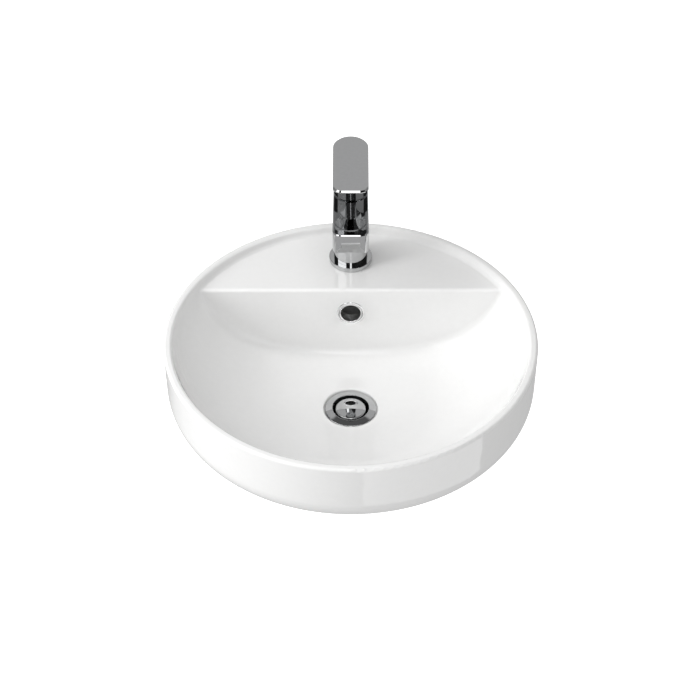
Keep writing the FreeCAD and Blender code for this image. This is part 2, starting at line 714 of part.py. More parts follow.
def clamp_plate():
    """Steel crescent under the gasket."""
    top = SHELF_Z - SHELF_THICKNESS - CLAMP_GASKET_THICKNESS
    return clamp_crescent(top - CLAMP_PLATE_THICKNESS, top)


def clamp_nut():
    """Long hexagon nut on the stud."""
    top = SHELF_Z - SHELF_THICKNESS - CLAMP_GASKET_THICKNESS - CLAMP_PLATE_THICKNESS
    y = TAP_Y - STUD_FORWARD
    nut = hexagon(CLAMP_NUT_ACROSS, top - CLAMP_NUT_HEIGHT, top, y=y)
    return nut.cut(rod(STUD_THREAD / 2, top - CLAMP_NUT_HEIGHT, top, y=y))


def ports(bottom, top, radius):
    """The three water ports of the cartridge: two inlets behind, one outlet in front."""
    return inlet_rods(radius, bottom, top) + [rod(radius, bottom, top, y=TAP_Y - PORT_CIRCLE)]


def cartridge_seal():
    """Rubber seal under the cartridge."""
    seal = rod(FIXED_DISC_RADIUS, CHAMBER_Z, CARTRIDGE_BASE_Z, y=TAP_Y)
    return seal.cut(ports(CHAMBER_Z, CARTRIDGE_BASE_Z, PORT_RADIUS))


def cartridge_base():
    """Foot of the cartridge with its three ports."""
    base = rod(CARTRIDGE_RADIUS, CARTRIDGE_BASE_Z, FIXED_DISC_Z, y=TAP_Y)
    return base.cut(ports(CARTRIDGE_BASE_Z, FIXED_DISC_Z, PORT_RADIUS))


def fixed_disc():
    """Ceramic disc that stays still, with the same three ports."""
    disc = rod(FIXED_DISC_RADIUS, FIXED_DISC_Z, FIXED_DISC_Z + FIXED_DISC_HEIGHT, y=TAP_Y)
    return disc.cut(ports(FIXED_DISC_Z, FIXED_DISC_Z + FIXED_DISC_HEIGHT, PORT_RADIUS))


def moving_disc():
    """Ceramic disc that slides on the fixed one, with the mixing pocket in its face."""
    disc = rod(MOVING_DISC_RADIUS, MOVING_DISC_Z, DRIVER_Z, y=TAP_Y)
    return disc.cut(rod(MIXING_POCKET_RADIUS, MOVING_DISC_Z, MOVING_DISC_Z + MIXING_POCKET_DEPTH, y=TAP_Y))


def disc_driver():
    """Carrier on the moving disc, slotted across for the lever stem's tip."""
    driver = rod(MOVING_DISC_RADIUS, DRIVER_Z, DRIVER_TOP_Z, y=TAP_Y)
    half = DRIVER_SLOT_WIDTH / 2
    slot = Part.makeBox(2 * half, 2 * half, DRIVER_SLOT_DEPTH,
                        Vector(-half, TAP_Y - half, DRIVER_TOP_Z - DRIVER_SLOT_DEPTH))
    return driver.cut(slot)


def cartridge_housing():
    """Cup over the discs, with the turret's opening in its roof."""
    inner = CARTRIDGE_RADIUS - CARTRIDGE_WALL
    cup = rod(CARTRIDGE_RADIUS, FIXED_DISC_Z, CARTRIDGE_TOP_Z, y=TAP_Y)
    cup = cup.cut(rod(inner, FIXED_DISC_Z, ROOF_Z, y=TAP_Y))
    return cup.cut(rod(TURRET_RADIUS + TURRET_CLEARANCE, ROOF_Z, CARTRIDGE_TOP_Z, y=TAP_Y))


def cartridge_turret():
    """Turning holder for the lever stem, slotted fore and aft and drilled for the pin."""
    flange_top = TURRET_Z + TURRET_FLANGE_HEIGHT
    turret = rod(TURRET_FLANGE_RADIUS, TURRET_Z, flange_top, y=TAP_Y)
    turret = turret.fuse(rod(TURRET_RADIUS, flange_top, flange_top + TURRET_HEIGHT, y=TAP_Y))
    width = STEM_SQUARE + 2 * STEM_SLOT_CLEARANCE
    height = TURRET_FLANGE_HEIGHT + TURRET_HEIGHT
    slot = Part.makeBox(width, TURRET_SLOT_LENGTH, height,
                        Vector(-width / 2, TAP_Y - TURRET_SLOT_LENGTH / 2, TURRET_Z))
    return turret.cut(slot).cut(pin_bore(PIN_RADIUS)).removeSplitter()


def pin_bore(radius):
    """Cross hole at the lever's pivot."""
    return Part.makeCylinder(radius, 2 * TURRET_RADIUS, Vector(-TURRET_RADIUS, TAP_Y, PIVOT_Z), ACROSS)


def stem_pin():
    """Pin on which the lever stem tilts."""
    length = 2 * (TURRET_RADIUS - PIN_END_INSET)
    return Part.makeCylinder(PIN_RADIUS, length, Vector(-length / 2, TAP_Y, PIVOT_Z), ACROSS)


def lever_stem():
    """Square stem with a round-ended tail that works the driver."""
    half = STEM_SQUARE / 2
    shank = Part.makeBox(STEM_SQUARE, STEM_SQUARE, STEM_TOP_Z - PIVOT_Z + half,
                         Vector(-half, TAP_Y - half, PIVOT_Z - half))
    tip_z = PIVOT_Z - STEM_TIP_DROP
    tail = rod(STEM_TIP_RADIUS, tip_z, PIVOT_Z, y=TAP_Y)
    tip = Part.makeSphere(STEM_TIP_RADIUS, Vector(0, TAP_Y, tip_z))
    stem = shank.fuse([tail, tip])
    return stem.cut(pin_bore(PIN_RADIUS + PIN_CLEARANCE)).removeSplitter()


def cartridge_nut():
    """Ring nut that holds the cartridge down, with a hexagon socket."""
    top = CARTRIDGE_TOP_Z + LOCK_NUT_HEIGHT
    ring = rod(CHAMBER_RADIUS - LOCK_NUT_CLEARANCE, CARTRIDGE_TOP_Z, top, y=TAP_Y)
    return ring.cut(hexagon(LOCK_NUT_ACROSS, CARTRIDGE_TOP_Z, top, y=TAP_Y))


def dome_cover():
    """Part-spherical collar that closes the column's top round the lever's pivot."""
    bore = DOME_BORE / 2
    ball = Part.makeSphere(DOME_RADIUS, Vector(0, TAP_Y, PIVOT_Z))
    cap = tube(COLUMN_RADIUS, bore, BODY_TOP_Z, PIVOT_Z + DOME_RADIUS, y=TAP_Y).common(ball)
    sleeve_radius = CHAMBER_RADIUS - DOME_SLEEVE_CLEARANCE
    sleeve = tube(sleeve_radius, bore, BODY_TOP_Z - DOME_SLEEVE_LENGTH, BODY_TOP_Z, y=TAP_Y)
    return cap.fuse(sleeve).removeSplitter()


def lever_handle():
    """Flat lever with a round hub, hollowed as part of a ball about the pivot."""
    half = LEVER_WIDTH / 2
    hub = rod(half, LEVER_HUB_Z, LEVER_TOP_Z - LEVER_BEVEL, y=TAP_Y)
    plan = slab_z([
        (-half, TAP_Y, 0),
        (-half, LEVER_FRONT_Y, LEVER_CORNER),
        (half, LEVER_FRONT_Y, LEVER_CORNER),
        (half, TAP_Y, 0),
    ], LEVER_HUB_Z, LEVER_TOP_Z)
    plan = plan.fuse(rod(half, LEVER_HUB_Z, LEVER_TOP_Z, y=TAP_Y)).removeSplitter()
    top_edges = []
    for edge in plan.Edges:
        middle = edge.valueAt((edge.FirstParameter + edge.LastParameter) / 2)
        if middle.z > LEVER_TOP_Z - 1e-6:
            top_edges.append(edge)
    plan = plan.makeChamfer(LEVER_BEVEL, top_edges)
    root_y = TAP_Y - half
    blade = slab_x([
        (TAP_Y + LEVER_WIDTH, LEVER_TOP_Z, 0),
        (LEVER_FRONT_Y, LEVER_TOP_Z, 0),
        (LEVER_FRONT_Y, LEVER_TOP_Z - LEVER_TIP_THICKNESS, 0),
        (root_y, LEVER_TOP_Z - LEVER_ROOT_THICKNESS, 0),
        (TAP_Y + LEVER_WIDTH, LEVER_TOP_Z - LEVER_ROOT_THICKNESS, 0),
    ], LEVER_WIDTH)
    lever = plan.common(blade).fuse(hub).removeSplitter()
    lever = lever.cut(Part.makeSphere(DOME_RADIUS + LEVER_DOME_CLEARANCE, Vector(0, TAP_Y, PIVOT_Z)))
    socket = STEM_SQUARE / 2 + LEVER_SOCKET_CLEARANCE
    socket_top = STEM_TOP_Z + LEVER_SOCKET_CLEARANCE
    lever = lever.cut(Part.makeBox(2 * socket, 2 * socket, socket_top - LEVER_HUB_Z,
                                   Vector(-socket, TAP_Y - socket, LEVER_HUB_Z)))
    axis_start = Vector(0, TAP_Y, GRUB_Z)
    lever = lever.cut(Part.makeCylinder(GRUB_THREAD / 2 + GRUB_CLEARANCE, half, axis_start, BACK))
    cap_start = Vector(0, TAP_Y + half - SCREW_CAP_DEPTH, GRUB_Z)
    cap_radius = SCREW_CAP_DIAMETER / 2 + SCREW_CAP_CLEARANCE
    return lever.cut(Part.makeCylinder(cap_radius, half, cap_start, BACK))


def lever_grub_screw():
    """Set screw that holds the lever on its stem."""
    start = Vector(0, TAP_Y + STEM_SQUARE / 2, GRUB_Z)
    return Part.makeCylinder(GRUB_THREAD / 2, GRUB_LENGTH, start, BACK)


def lever_screw_cap():
    """Plain round plug over the set screw, flush with the hub."""
    half = LEVER_WIDTH / 2
    start = Vector(0, TAP_Y + half - SCREW_CAP_DEPTH, GRUB_Z)
    plug = Part.makeCylinder(SCREW_CAP_DIAMETER / 2, half, start, BACK)
    return plug.common(rod(half, LEVER_HUB_Z, LEVER_TOP_Z, y=TAP_Y))


def aerator_top():
    """Roof of the aerator's recess in the spout."""
    return spout_under(AERATOR_Y) - AERATOR_PROUD + AERATOR_HEIGHT + AERATOR_WASHER_THICKNESS


def aerator_washer():
    """Rubber ring on top of the aerator."""
    top = aerator_top()
    bottom = top - AERATOR_WASHER_THICKNESS
    return tube(AERATOR_RADIUS, AERATOR_RADIUS - 2 * AERATOR_WALL, bottom, top, y=AERATOR_Y)


def aerator_housing():
    """Chrome screw-in shell of the aerator with a lip at its foot."""
    top = aerator_top() - AERATOR_WASHER_THICKNESS
    bottom = top - AERATOR_HEIGHT
    bore = AERATOR_RADIUS - AERATOR_WALL
    return turned([
        (bore - AERATOR_LIP, bottom, 0),
        (AERATOR_RADIUS, bottom, AERATOR_LIP / 2),
        (AERATOR_RADIUS, top, 0),
        (bore, top, 0),
        (bore, bottom + AERATOR_LIP, 0),
        (bore - AERATOR_LIP, bottom + AERATOR_LIP, 0),
    ], AERATOR_Y)


def aerator_insert():
    """Flow straightener: a plastic plug with rings of small holes."""
    housing_top = aerator_top() - AERATOR_WASHER_THICKNESS
    bottom = housing_top - AERATOR_HEIGHT + AERATOR_LIP
    top = bottom + AERATOR_INSERT_HEIGHT
    radius = AERATOR_RADIUS - AERATOR_WALL - AERATOR_INSERT_CLEARANCE
    holes = [rod(AERATOR_HOLE_RADIUS, bottom, top, y=AERATOR_Y)]
    for ring in range(1, AERATOR_HOLE_RINGS + 1):
        for step in range(6 * ring):
            angle = 60 * step / ring
            x = ring * AERATOR_HOLE_PITCH * cos(angle)
            y = AERATOR_Y + ring * AERATOR_HOLE_PITCH * sin(angle)
            holes.append(rod(AERATOR_HOLE_RADIUS, bottom, top, x, y))
    return rod(radius, bottom, top, y=AERATOR_Y).cut(holes)


def waste_body():
    """Flanged waste: shallow dished top, plug seat, slotted tail and the spider inside."""
    flange = WASTE_FLANGE_DIAMETER / 2
    throat = WASTE_THROAT_DIAMETER / 2
    collar = WASTE_HOLE_DIAMETER / 2 - WASTE_COLLAR_CLEARANCE
    collar_z = FLANGE_Z - WASTE_COLLAR_DEPTH
    groove_z = TAIL_Z + OUTLET_CHAMFER + OUTLET_LENGTH
    body = turned([
        (flange, FLANGE_Z, 0),
        (flange, FLANGE_TOP_Z, WASTE_FLANGE_ROUND),
        (throat, FLANGE_TOP_Z - WASTE_DISH_DROP, WASTE_FLANGE_ROUND),
        (TAIL_BORE, FLANGE_TOP_Z - WASTE_CONE_DEPTH, 0),
        (TAIL_BORE, TAIL_Z, 0),
        (TAIL_RADIUS - OUTLET_CHAMFER, TAIL_Z, 0),
        (TAIL_RADIUS, TAIL_Z + OUTLET_CHAMFER, 0),
        (TAIL_RADIUS, groove_z, 0),
        (TAIL_RADIUS - THREAD_GROOVE_DEPTH, groove_z, 0),
        (TAIL_RADIUS - THREAD_GROOVE_DEPTH, groove_z + THREAD_GROOVE_WIDTH, 0),
        (TAIL_RADIUS, groove_z + THREAD_GROOVE_WIDTH, 0),
        (TAIL_RADIUS, collar_z, 0),
        (collar, collar_z, 0),
        (collar, FLANGE_Z, 0),
    ])
    slot_top = FLANGE_TOP_Z - WASTE_SLOT_DROP
    slot = Part.makeBox(TAIL_RADIUS * 2, WASTE_SLOT_WIDTH, WASTE_SLOT_HEIGHT,
                        Vector(0, -WASTE_SLOT_WIDTH / 2, slot_top - WASTE_SLOT_HEIGHT))
    for step in range(WASTE_SLOT_COUNT):
        body = body.cut(spun(slot, 360 / WASTE_SLOT_COUNT * (step + 0.5)))
    spider = rod(SPIDER_HUB_RADIUS, SPIDER_Z - SPIDER_HEIGHT, SPIDER_Z)
    arm = Part.makeBox(TAIL_BORE + WASTE_TAIL_WALL / 2, SPIDER_ARM_WIDTH, SPIDER_HEIGHT,
                       Vector(0, -SPIDER_ARM_WIDTH / 2, SPIDER_Z - SPIDER_HEIGHT))
    for step in range(SPIDER_ARM_COUNT):
        spider = spider.fuse(spun(arm, 360 / SPIDER_ARM_COUNT * step))
    body = body.fuse(spider)
    return body.cut(rod(CORE_THREAD / 2, SPIDER_Z - SPIDER_HEIGHT, SPIDER_Z)).removeSplitter()


def waste_seal():
    """Flat seal between the flange and the china."""
    outer = WASTE_FLANGE_DIAMETER / 2 - WASTE_SEAL_MARGIN
    return tube(outer, WASTE_HOLE_DIAMETER / 2, WASTE_SEAT_Z, FLANGE_Z)


def waste_lower_seal():
    """Tapered rubber seal under the china boss."""
    bore = TAIL_RADIUS + THREAD_CLEARANCE
    return turned([
        (bore, LOWER_SEAL_Z, 0),
        (LOWER_SEAL_RADIUS, LOWER_SEAL_Z, 0),
        (LOWER_SEAL_RADIUS, LOWER_SEAL_Z + LOWER_SEAL_LAND, 0),
        (bore + LOWER_SEAL_LAND, BOSS_Z, 0),
        (bore, BOSS_Z, 0),
    ])


def waste_washer():
    """Slip washer between the seal and the back nut."""
    return tube(LOWER_SEAL_RADIUS, TAIL_RADIUS + THREAD_CLEARANCE, WASHER_Z, LOWER_SEAL_Z)


def waste_back_nut():
    """Flanged hexagon nut on the tail's thread."""
    bottom = WASHER_Z - BACK_NUT_HEIGHT
    nut = hexagon(BACK_NUT_ACROSS, bottom, WASHER_Z)
    corners = turned([
        (0, bottom, 0),
        (BACK_NUT_ACROSS / 2, bottom, 0),
        (BACK_NUT_ACROSS / 2 / cos(30), bottom + BACK_NUT_COLLAR, 0),
        (BACK_NUT_ACROSS / 2 / cos(30), WASHER_Z, 0),
        (0, WASHER_Z, 0),
    ])
    collar = rod(LOWER_SEAL_RADIUS, WASHER_Z - BACK_NUT_COLLAR, WASHER_Z)
    nut = nut.common(corners).fuse(collar)
    return nut.cut(rod(TAIL_RADIUS + THREAD_CLEARANCE / 2, bottom, WASHER_Z)).removeSplitter()


def plug_cap():
    """Slightly crowned round plug head with the neck that carries its seal."""
    head = rod(PLUG_DIAMETER / 2, PLUG_UNDER_Z, PLUG_TOP_Z)
    crown = Part.makeSphere(PLUG_CROWN_RADIUS, Vector(0, 0, PLUG_TOP_Z - PLUG_CROWN_RADIUS))
    head = head.common(crown)
    rim_edges = []
    for edge in head.Edges:
        if edge.BoundBox.ZMin > PLUG_UNDER_Z + 1e-6 and edge.Closed:
            rim_edges.append(edge)
    head = head.makeFillet(PLUG_EDGE_ROUND, rim_edges)
    return head.fuse(rod(PLUG_NECK_RADIUS, SLEEVE_TOP_Z, PLUG_UNDER_Z)).removeSplitter()


def plug_seal():
    """Rubber ring under the plug head, thinner at its lip."""
    top = PLUG_UNDER_Z
    bottom = top - PLUG_SEAL_HEIGHT
    bore = PLUG_NECK_RADIUS + PLUG_SEAL_CLEARANCE
    return turned([
        (bore, bottom, 0),
        (PLUG_SEAL_RADIUS - PLUG_SEAL_LIP, bottom, 0),
        (PLUG_SEAL_RADIUS, bottom + PLUG_SEAL_LIP, 0),
        (PLUG_SEAL_RADIUS, top - PLUG_SEAL_LIP, 0),
        (PLUG_SEAL_RADIUS - PLUG_SEAL_LIP, top, 0),
        (bore, top, 0),
    ])


def plug_sleeve():
    """Sliding tube under the plug, closed at its top."""
    sleeve = rod(SLEEVE_RADIUS, SLEEVE_Z, SLEEVE_TOP_Z)
    return sleeve.cut(rod(SLEEVE_BORE, SLEEVE_Z, SPRING_TOP_Z))


def click_core():
    """Post on the spider on which the sleeve slides, screwed into the hub."""
    radius = SLEEVE_BORE - CORE_CLEARANCE
    return turned([
        (0, SPIDER_Z - SPIDER_HEIGHT, 0),
        (CORE_THREAD / 2 - THREAD_CLEARANCE / 2, SPIDER_Z - SPIDER_HEIGHT, 0),
        (CORE_THREAD / 2 - THREAD_CLEARANCE / 2, SPIDER_Z, 0),
        (radius, SPIDER_Z, 0),
        (radius, CORE_TOP_Z, CORE_CLEARANCE),
        (0, CORE_TOP_Z, 0),
    ])


def biarc(start, start_direction, end, end_direction):
    """Two arcs that join two points and leave and arrive along the given directions."""
    span = end - start
    turn = start_direction + end_direction
    square = 2 * (1 - start_direction.dot(end_direction))
    linear = span.dot(turn)
    reach = (-linear + math.sqrt(linear * linear + square * span.dot(span))) / square
    first_pole = start + start_direction * reach
    second_pole = end - end_direction * reach
    join = (first_pole + second_pole) * 0.5
    return [pole_arc(start, first_pole, join), pole_arc(join, second_pole, end)]


def pole_arc(start, pole, end):
    """Arc from start to end whose end tangents meet at the pole."""
    chord_middle = (start + end) * 0.5
    rise = pole - chord_middle
    half_chord = (end - start).Length / 2
    half_turn = math.atan2(rise.Length, half_chord)
    sagitta = half_chord * math.tan(half_turn / 2)
    rise.normalize()
    return Part.Arc(start, chord_middle + rise * sagitta, end).toShape()


def click_spring():
    """Open coil spring between the post and the roof of the sleeve, as one unbroken tube."""
    radius = SLEEVE_BORE - SPRING_CLEARANCE - SPRING_WIRE / 2
    bottom = CORE_TOP_Z + SPRING_END_GAP + SPRING_WIRE / 2
    height = SPRING_REST_LENGTH - 2 * SPRING_END_GAP - SPRING_WIRE
    rise = height / SPRING_TURNS

    def point(turns):
        angle = 360 * turns
        return Vector(radius * cos(angle), radius * sin(angle), bottom + rise * turns)

    def direction(turns):
        angle = 360 * turns
        along = Vector(-sin(angle), cos(angle), rise / (2 * math.pi * radius))
        return along.normalize()

    edges = []
    quarters = 4 * SPRING_TURNS
    for quarter in range(quarters):
        start = quarter / 4
        end = (quarter + 1) / 4
        edges += biarc(point(start), direction(start), point(end), direction(end))
    path = Part.Wire(edges)
    section = Part.Wire(Part.makeCircle(SPRING_WIRE / 2, point(0), direction(0)))
    shell = Part.BRepOffsetAPI.MakePipeShell(path)
    shell.add(section)
    shell.build()
    shell.makeSolid()
    print("click_spring gap between turns", round(rise - SPRING_WIRE, 2))
    return shell.shape()


NODES = [
    basin_body, overflow_ring, overflow_collar,
    tap_base_seal, tap_base_ring, tap_body, tap_foot, mounting_stud, clamp_gasket, clamp_plate, clamp_nut,
    cartridge_seal, cartridge_base, fixed_disc, moving_disc, disc_driver, cartridge_housing,
    cartridge_turret, stem_pin, lever_stem, cartridge_nut, dome_cover,
    lever_handle, lever_grub_screw, lever_screw_cap,
    aerator_washer, aerator_housing, aerator_insert,
    waste_body, waste_seal, waste_lower_seal, waste_washer, waste_back_nut,
    plug_cap, plug_seal, plug_sleeve, click_core, click_spring,
]

os.makedirs("parts", exist_ok=True)
for make in NODES:
    shape = make()
    shape.exportStep(os.path.join("parts", make.__name__ + ".step"))
    print(make.__name__, len(shape.Solids), shape.isValid(), round(shape.Volume, 1))
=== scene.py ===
import json
import logging
import math
from dataclasses import dataclass, field
from enum import Enum
from typing import Sequence

import bmesh
import bpy
import numpy as np
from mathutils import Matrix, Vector

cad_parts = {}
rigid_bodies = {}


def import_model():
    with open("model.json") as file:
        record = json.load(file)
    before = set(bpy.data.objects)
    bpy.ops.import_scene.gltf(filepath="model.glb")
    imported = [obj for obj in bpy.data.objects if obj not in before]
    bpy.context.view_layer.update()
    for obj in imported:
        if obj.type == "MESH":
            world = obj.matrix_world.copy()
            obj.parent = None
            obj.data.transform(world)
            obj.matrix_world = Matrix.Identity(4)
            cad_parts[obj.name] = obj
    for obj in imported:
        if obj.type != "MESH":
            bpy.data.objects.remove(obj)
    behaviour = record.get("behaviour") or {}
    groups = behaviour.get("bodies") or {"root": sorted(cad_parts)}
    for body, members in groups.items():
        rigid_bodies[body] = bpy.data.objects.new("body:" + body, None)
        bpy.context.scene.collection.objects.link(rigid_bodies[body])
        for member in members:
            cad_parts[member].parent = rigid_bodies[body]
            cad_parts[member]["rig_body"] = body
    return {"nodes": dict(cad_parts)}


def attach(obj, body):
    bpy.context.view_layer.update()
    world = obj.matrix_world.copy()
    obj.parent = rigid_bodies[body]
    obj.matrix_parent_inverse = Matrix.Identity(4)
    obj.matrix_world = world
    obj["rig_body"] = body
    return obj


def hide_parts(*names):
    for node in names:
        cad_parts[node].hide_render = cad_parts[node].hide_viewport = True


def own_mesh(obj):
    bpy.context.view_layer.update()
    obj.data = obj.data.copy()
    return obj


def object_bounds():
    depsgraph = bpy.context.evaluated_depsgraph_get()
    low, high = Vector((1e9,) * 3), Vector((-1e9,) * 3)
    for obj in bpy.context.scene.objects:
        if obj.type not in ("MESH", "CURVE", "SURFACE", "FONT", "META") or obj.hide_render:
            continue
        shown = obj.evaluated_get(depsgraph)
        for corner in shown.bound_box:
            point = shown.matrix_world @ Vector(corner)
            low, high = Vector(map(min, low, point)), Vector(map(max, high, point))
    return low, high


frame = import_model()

log = logging.getLogger("inset_basin")
MM = 0.001
CAD_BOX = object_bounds()
Socket = bpy.types.NodeSocket
Colour = tuple[float, float, float]
WHITE = (1.0, 1.0, 1.0, 1.0)

# Angle between faces, in degrees, over which an edge stays sharp.
CREASE = 28.0
# Pull of large flat faces on the shading of the rounds beside them.
FLAT_PULL = 80
# Distance, in metres, under which two corners of a CAD mesh are one.
JOIN = 2e-6
# Points round a turned ring.
RING_COLUMNS = 180

# Roughness of a clear coat.
COAT_ROUGHNESS = 0.02
# Share of the grain's depth that shows as relief.
RELIEF_SHARE = 0.6
# Finer layers in the grain's noise.
GRAIN_LAYERS = 3.0
# Values between which most of the noise lies.
NOISE_MIDDLE = (0.3, 0.7)

# Numbers of a mix node's colour sockets, whose names its other sockets share.
MIX_LOW = 6
MIX_HIGH = 7
MIX_RESULT = 2


class Grain(Enum):
    """How a finish's fine grain is drawn out along X, Y and Z."""

    SPECKLE = (1.0, 1.0, 1.0)
    TURNED = (0.05, 0.05, 1.0)
    DRAWN = (1.0, 1.0, 0.06)


@dataclass(frozen=True)
class Tree:
    """A shader's node tree, with short ways to add nodes and join them.

    Args:
        tree: The node tree of a material or world.
    """

    tree: bpy.types.ShaderNodeTree

    def add(self, kind: str) -> bpy.types.Node:
        """A new node of a kind."""
        return self.tree.nodes.new("ShaderNode" + kind)

    def feed(self, socket: Socket, value: Socket | float | Sequence[float]) -> None:
        """Join an input to an output, or set it to a number or a colour.

        Args:
            socket: The input.
            value: The output, the number or the colour.
        """
        if isinstance(value, Socket):
            self.tree.links.new(value, socket)
        else:
            socket.default_value = value

    def axes(self, space: str) -> tuple[Socket, Socket, Socket]:
        """The shaded point in one of the texture spaces.

        Args:
            space: Name of the texture space.

        Returns:
            X, Y and Z.
        """
        split = self.add("SeparateXYZ")
        self.feed(split.inputs["Vector"], self.add("TexCoord").outputs[space])
        return split.outputs["X"], split.outputs["Y"], split.outputs["Z"]

    def math(self, operation: str, first: Socket | float, second: Socket | float = 0.0) -> Socket:
        """One sum, product or comparison.

        Args:
            operation: What is done with the two values.
            first: The first value.
            second: The second value, where the operation has one.

        Returns:
            The outcome.
        """
        node = self.add("Math")
        node.operation = operation
        self.feed(node.inputs[0], first)
        self.feed(node.inputs[1], second)
        return node.outputs["Value"]

    def every(self, *masks: Socket) -> Socket:
        """All masks as one.

        Args:
            masks: Values from 0 to 1.

        Returns:
            Their product, which is 1 where all of them are 1.
        """
        whole = masks[0]
        for mask in masks[1:]:
            whole = self.math("MULTIPLY", whole, mask)
        return whole

    def step(self, value: Socket, start: float, end: float) -> Socket:
        """A smooth rise from 0 to 1.

        Args:
            value: The value that the rise follows.
            start: Where the rise is 0.
            end: Where it is 1.

        Returns:
            The rise.
        """
        node = self.add("MapRange")
        node.interpolation_type = "SMOOTHSTEP"
        node.inputs["From Min"].default_value = start
        node.inputs["From Max"].default_value = end
        self.feed(node.inputs["Value"], value)
        return node.outputs["Result"]

    def span(self, noise: Socket, low: float, high: float) -> Socket:
        """The middle of a noise spread between two limits.

        Args:
            noise: The noise.
            low: Lower limit.
            high: Upper limit.

        Returns:
            The spread noise.
        """
        node = self.add("MapRange")
        node.inputs["From Min"].default_value = NOISE_MIDDLE[0]
        node.inputs["From Max"].default_value = NOISE_MIDDLE[1]
        node.inputs["To Min"].default_value = low
        node.inputs["To Max"].default_value = high
        self.feed(node.inputs["Value"], noise)
        return node.outputs["Result"]

    def blend(self, factor: Socket, low: Socket | float, high: Socket | float) -> Socket:
        """A number that runs between two others.

        Args:
            factor: Where it stands, from 0 to 1.
            low: The number at 0.
            high: The number at 1.

        Returns:
            The number.
        """
        node = self.add("Mix")
        self.feed(node.inputs["Factor"], factor)
        self.feed(node.inputs["A"], low)
        self.feed(node.inputs["B"], high)
        return node.outputs["Result"]

    def tint(self, factor: Socket, low: Socket | Colour, high: Colour) -> Socket:
        """A colour that runs between two others.

        Args:
            factor: Where it stands, from 0 to 1.
            low: The colour at 0.
            high: The colour at 1.

        Returns:
            The colour.
        """
        node = self.add("Mix")
        node.data_type = "RGBA"
        self.feed(node.inputs["Factor"], factor)
        self.feed(node.inputs[MIX_LOW], low if isinstance(low, Socket) else (*low, 1.0))
        node.inputs[MIX_HIGH].default_value = (*high, 1.0)
        return node.outputs[MIX_RESULT]


@dataclass(frozen=True)
class Finish:
    """A surface finish with fine grain in its colour, gloss and relief.

    Args:
        name: Material name.
        slot: The record's material slot that the finish belongs to.
        colour: Base colour, linear.
        metallic: 1 for bare or plated metal, 0 for the rest.
        roughness: Lowest and highest roughness over the grain.
        tint: How far the grain darkens the colour, as a share of it.
        grain: Direction of the grain.
        grain_size: Size of the grain, in metres.
        relief: Depth of the grain, in metres.
        coat: Weight of a clear coat such as a glaze.
        specular: Strength of the reflection from an uncoated surface that isn't metal.
    """

    name: str
    slot: str
    colour: Colour
    metallic: float
    roughness: tuple[float, float]
    tint: float
    grain: Grain
    grain_size: float
    relief: float
    coat: float = 0.0
    specular: float = 0.5

    def material(self) -> bpy.types.Material:
        """The finish as a node material, made once.

        Returns:
            The material, with noise that drives its colour, roughness and bump.
        """
        made = bpy.data.materials.get(self.name)
        if made is not None:
            return made
        made = bpy.data.materials.new(self.name)
        made.use_nodes = True
        tree = Tree(made.node_tree)
        shader = made.node_tree.nodes["Principled BSDF"]
        shader.inputs["Metallic"].default_value = self.metallic
        shader.inputs["Coat Weight"].default_value = self.coat
        shader.inputs["Coat Roughness"].default_value = COAT_ROUGHNESS
        shader.inputs["Specular IOR Level"].default_value = self.specular
        noise = self.noise(tree)
        dark = tuple(channel * (1.0 - self.tint) for channel in self.colour)
        grained = tree.tint(tree.span(noise, 0.0, 1.0), dark, self.colour)
        tree.feed(shader.inputs["Base Color"], self.marked(tree, grained))
        tree.feed(shader.inputs["Roughness"], self.dulled(tree, tree.span(noise, *self.roughness)))
        bump = tree.add("Bump")
        bump.inputs["Strength"].default_value = RELIEF_SHARE
        bump.inputs["Distance"].default_value = self.relief
        tree.feed(bump.inputs["Height"], noise)
        tree.feed(shader.inputs["Normal"], bump.outputs["Normal"])
        return made

    def noise(self, tree: Tree) -> Socket:
        """Noise in the piece's own coordinates, drawn out along the grain.

        Args:
            tree: The material's node tree.

        Returns:
            The noise.
        """
        mapping = tree.add("Mapping")
        mapping.inputs["Scale"].default_value = [axis / self.grain_size for axis in self.grain.value]
        tree.feed(mapping.inputs["Vector"], tree.add("TexCoord").outputs["Object"])
        noise = tree.add("TexNoise")
        noise.inputs["Scale"].default_value = 1.0
        noise.inputs["Detail"].default_value = GRAIN_LAYERS
        tree.feed(noise.inputs["Vector"], mapping.outputs["Vector"])
        return noise.outputs["Fac"]

    def marked(self, tree: Tree, colour: Socket) -> Socket:
        """Colour after any larger marks; a plain finish has none."""
        return colour

    def dulled(self, tree: Tree, rough: Socket) -> Socket:
        """Roughness after any larger marks; a plain finish has none."""
        return rough


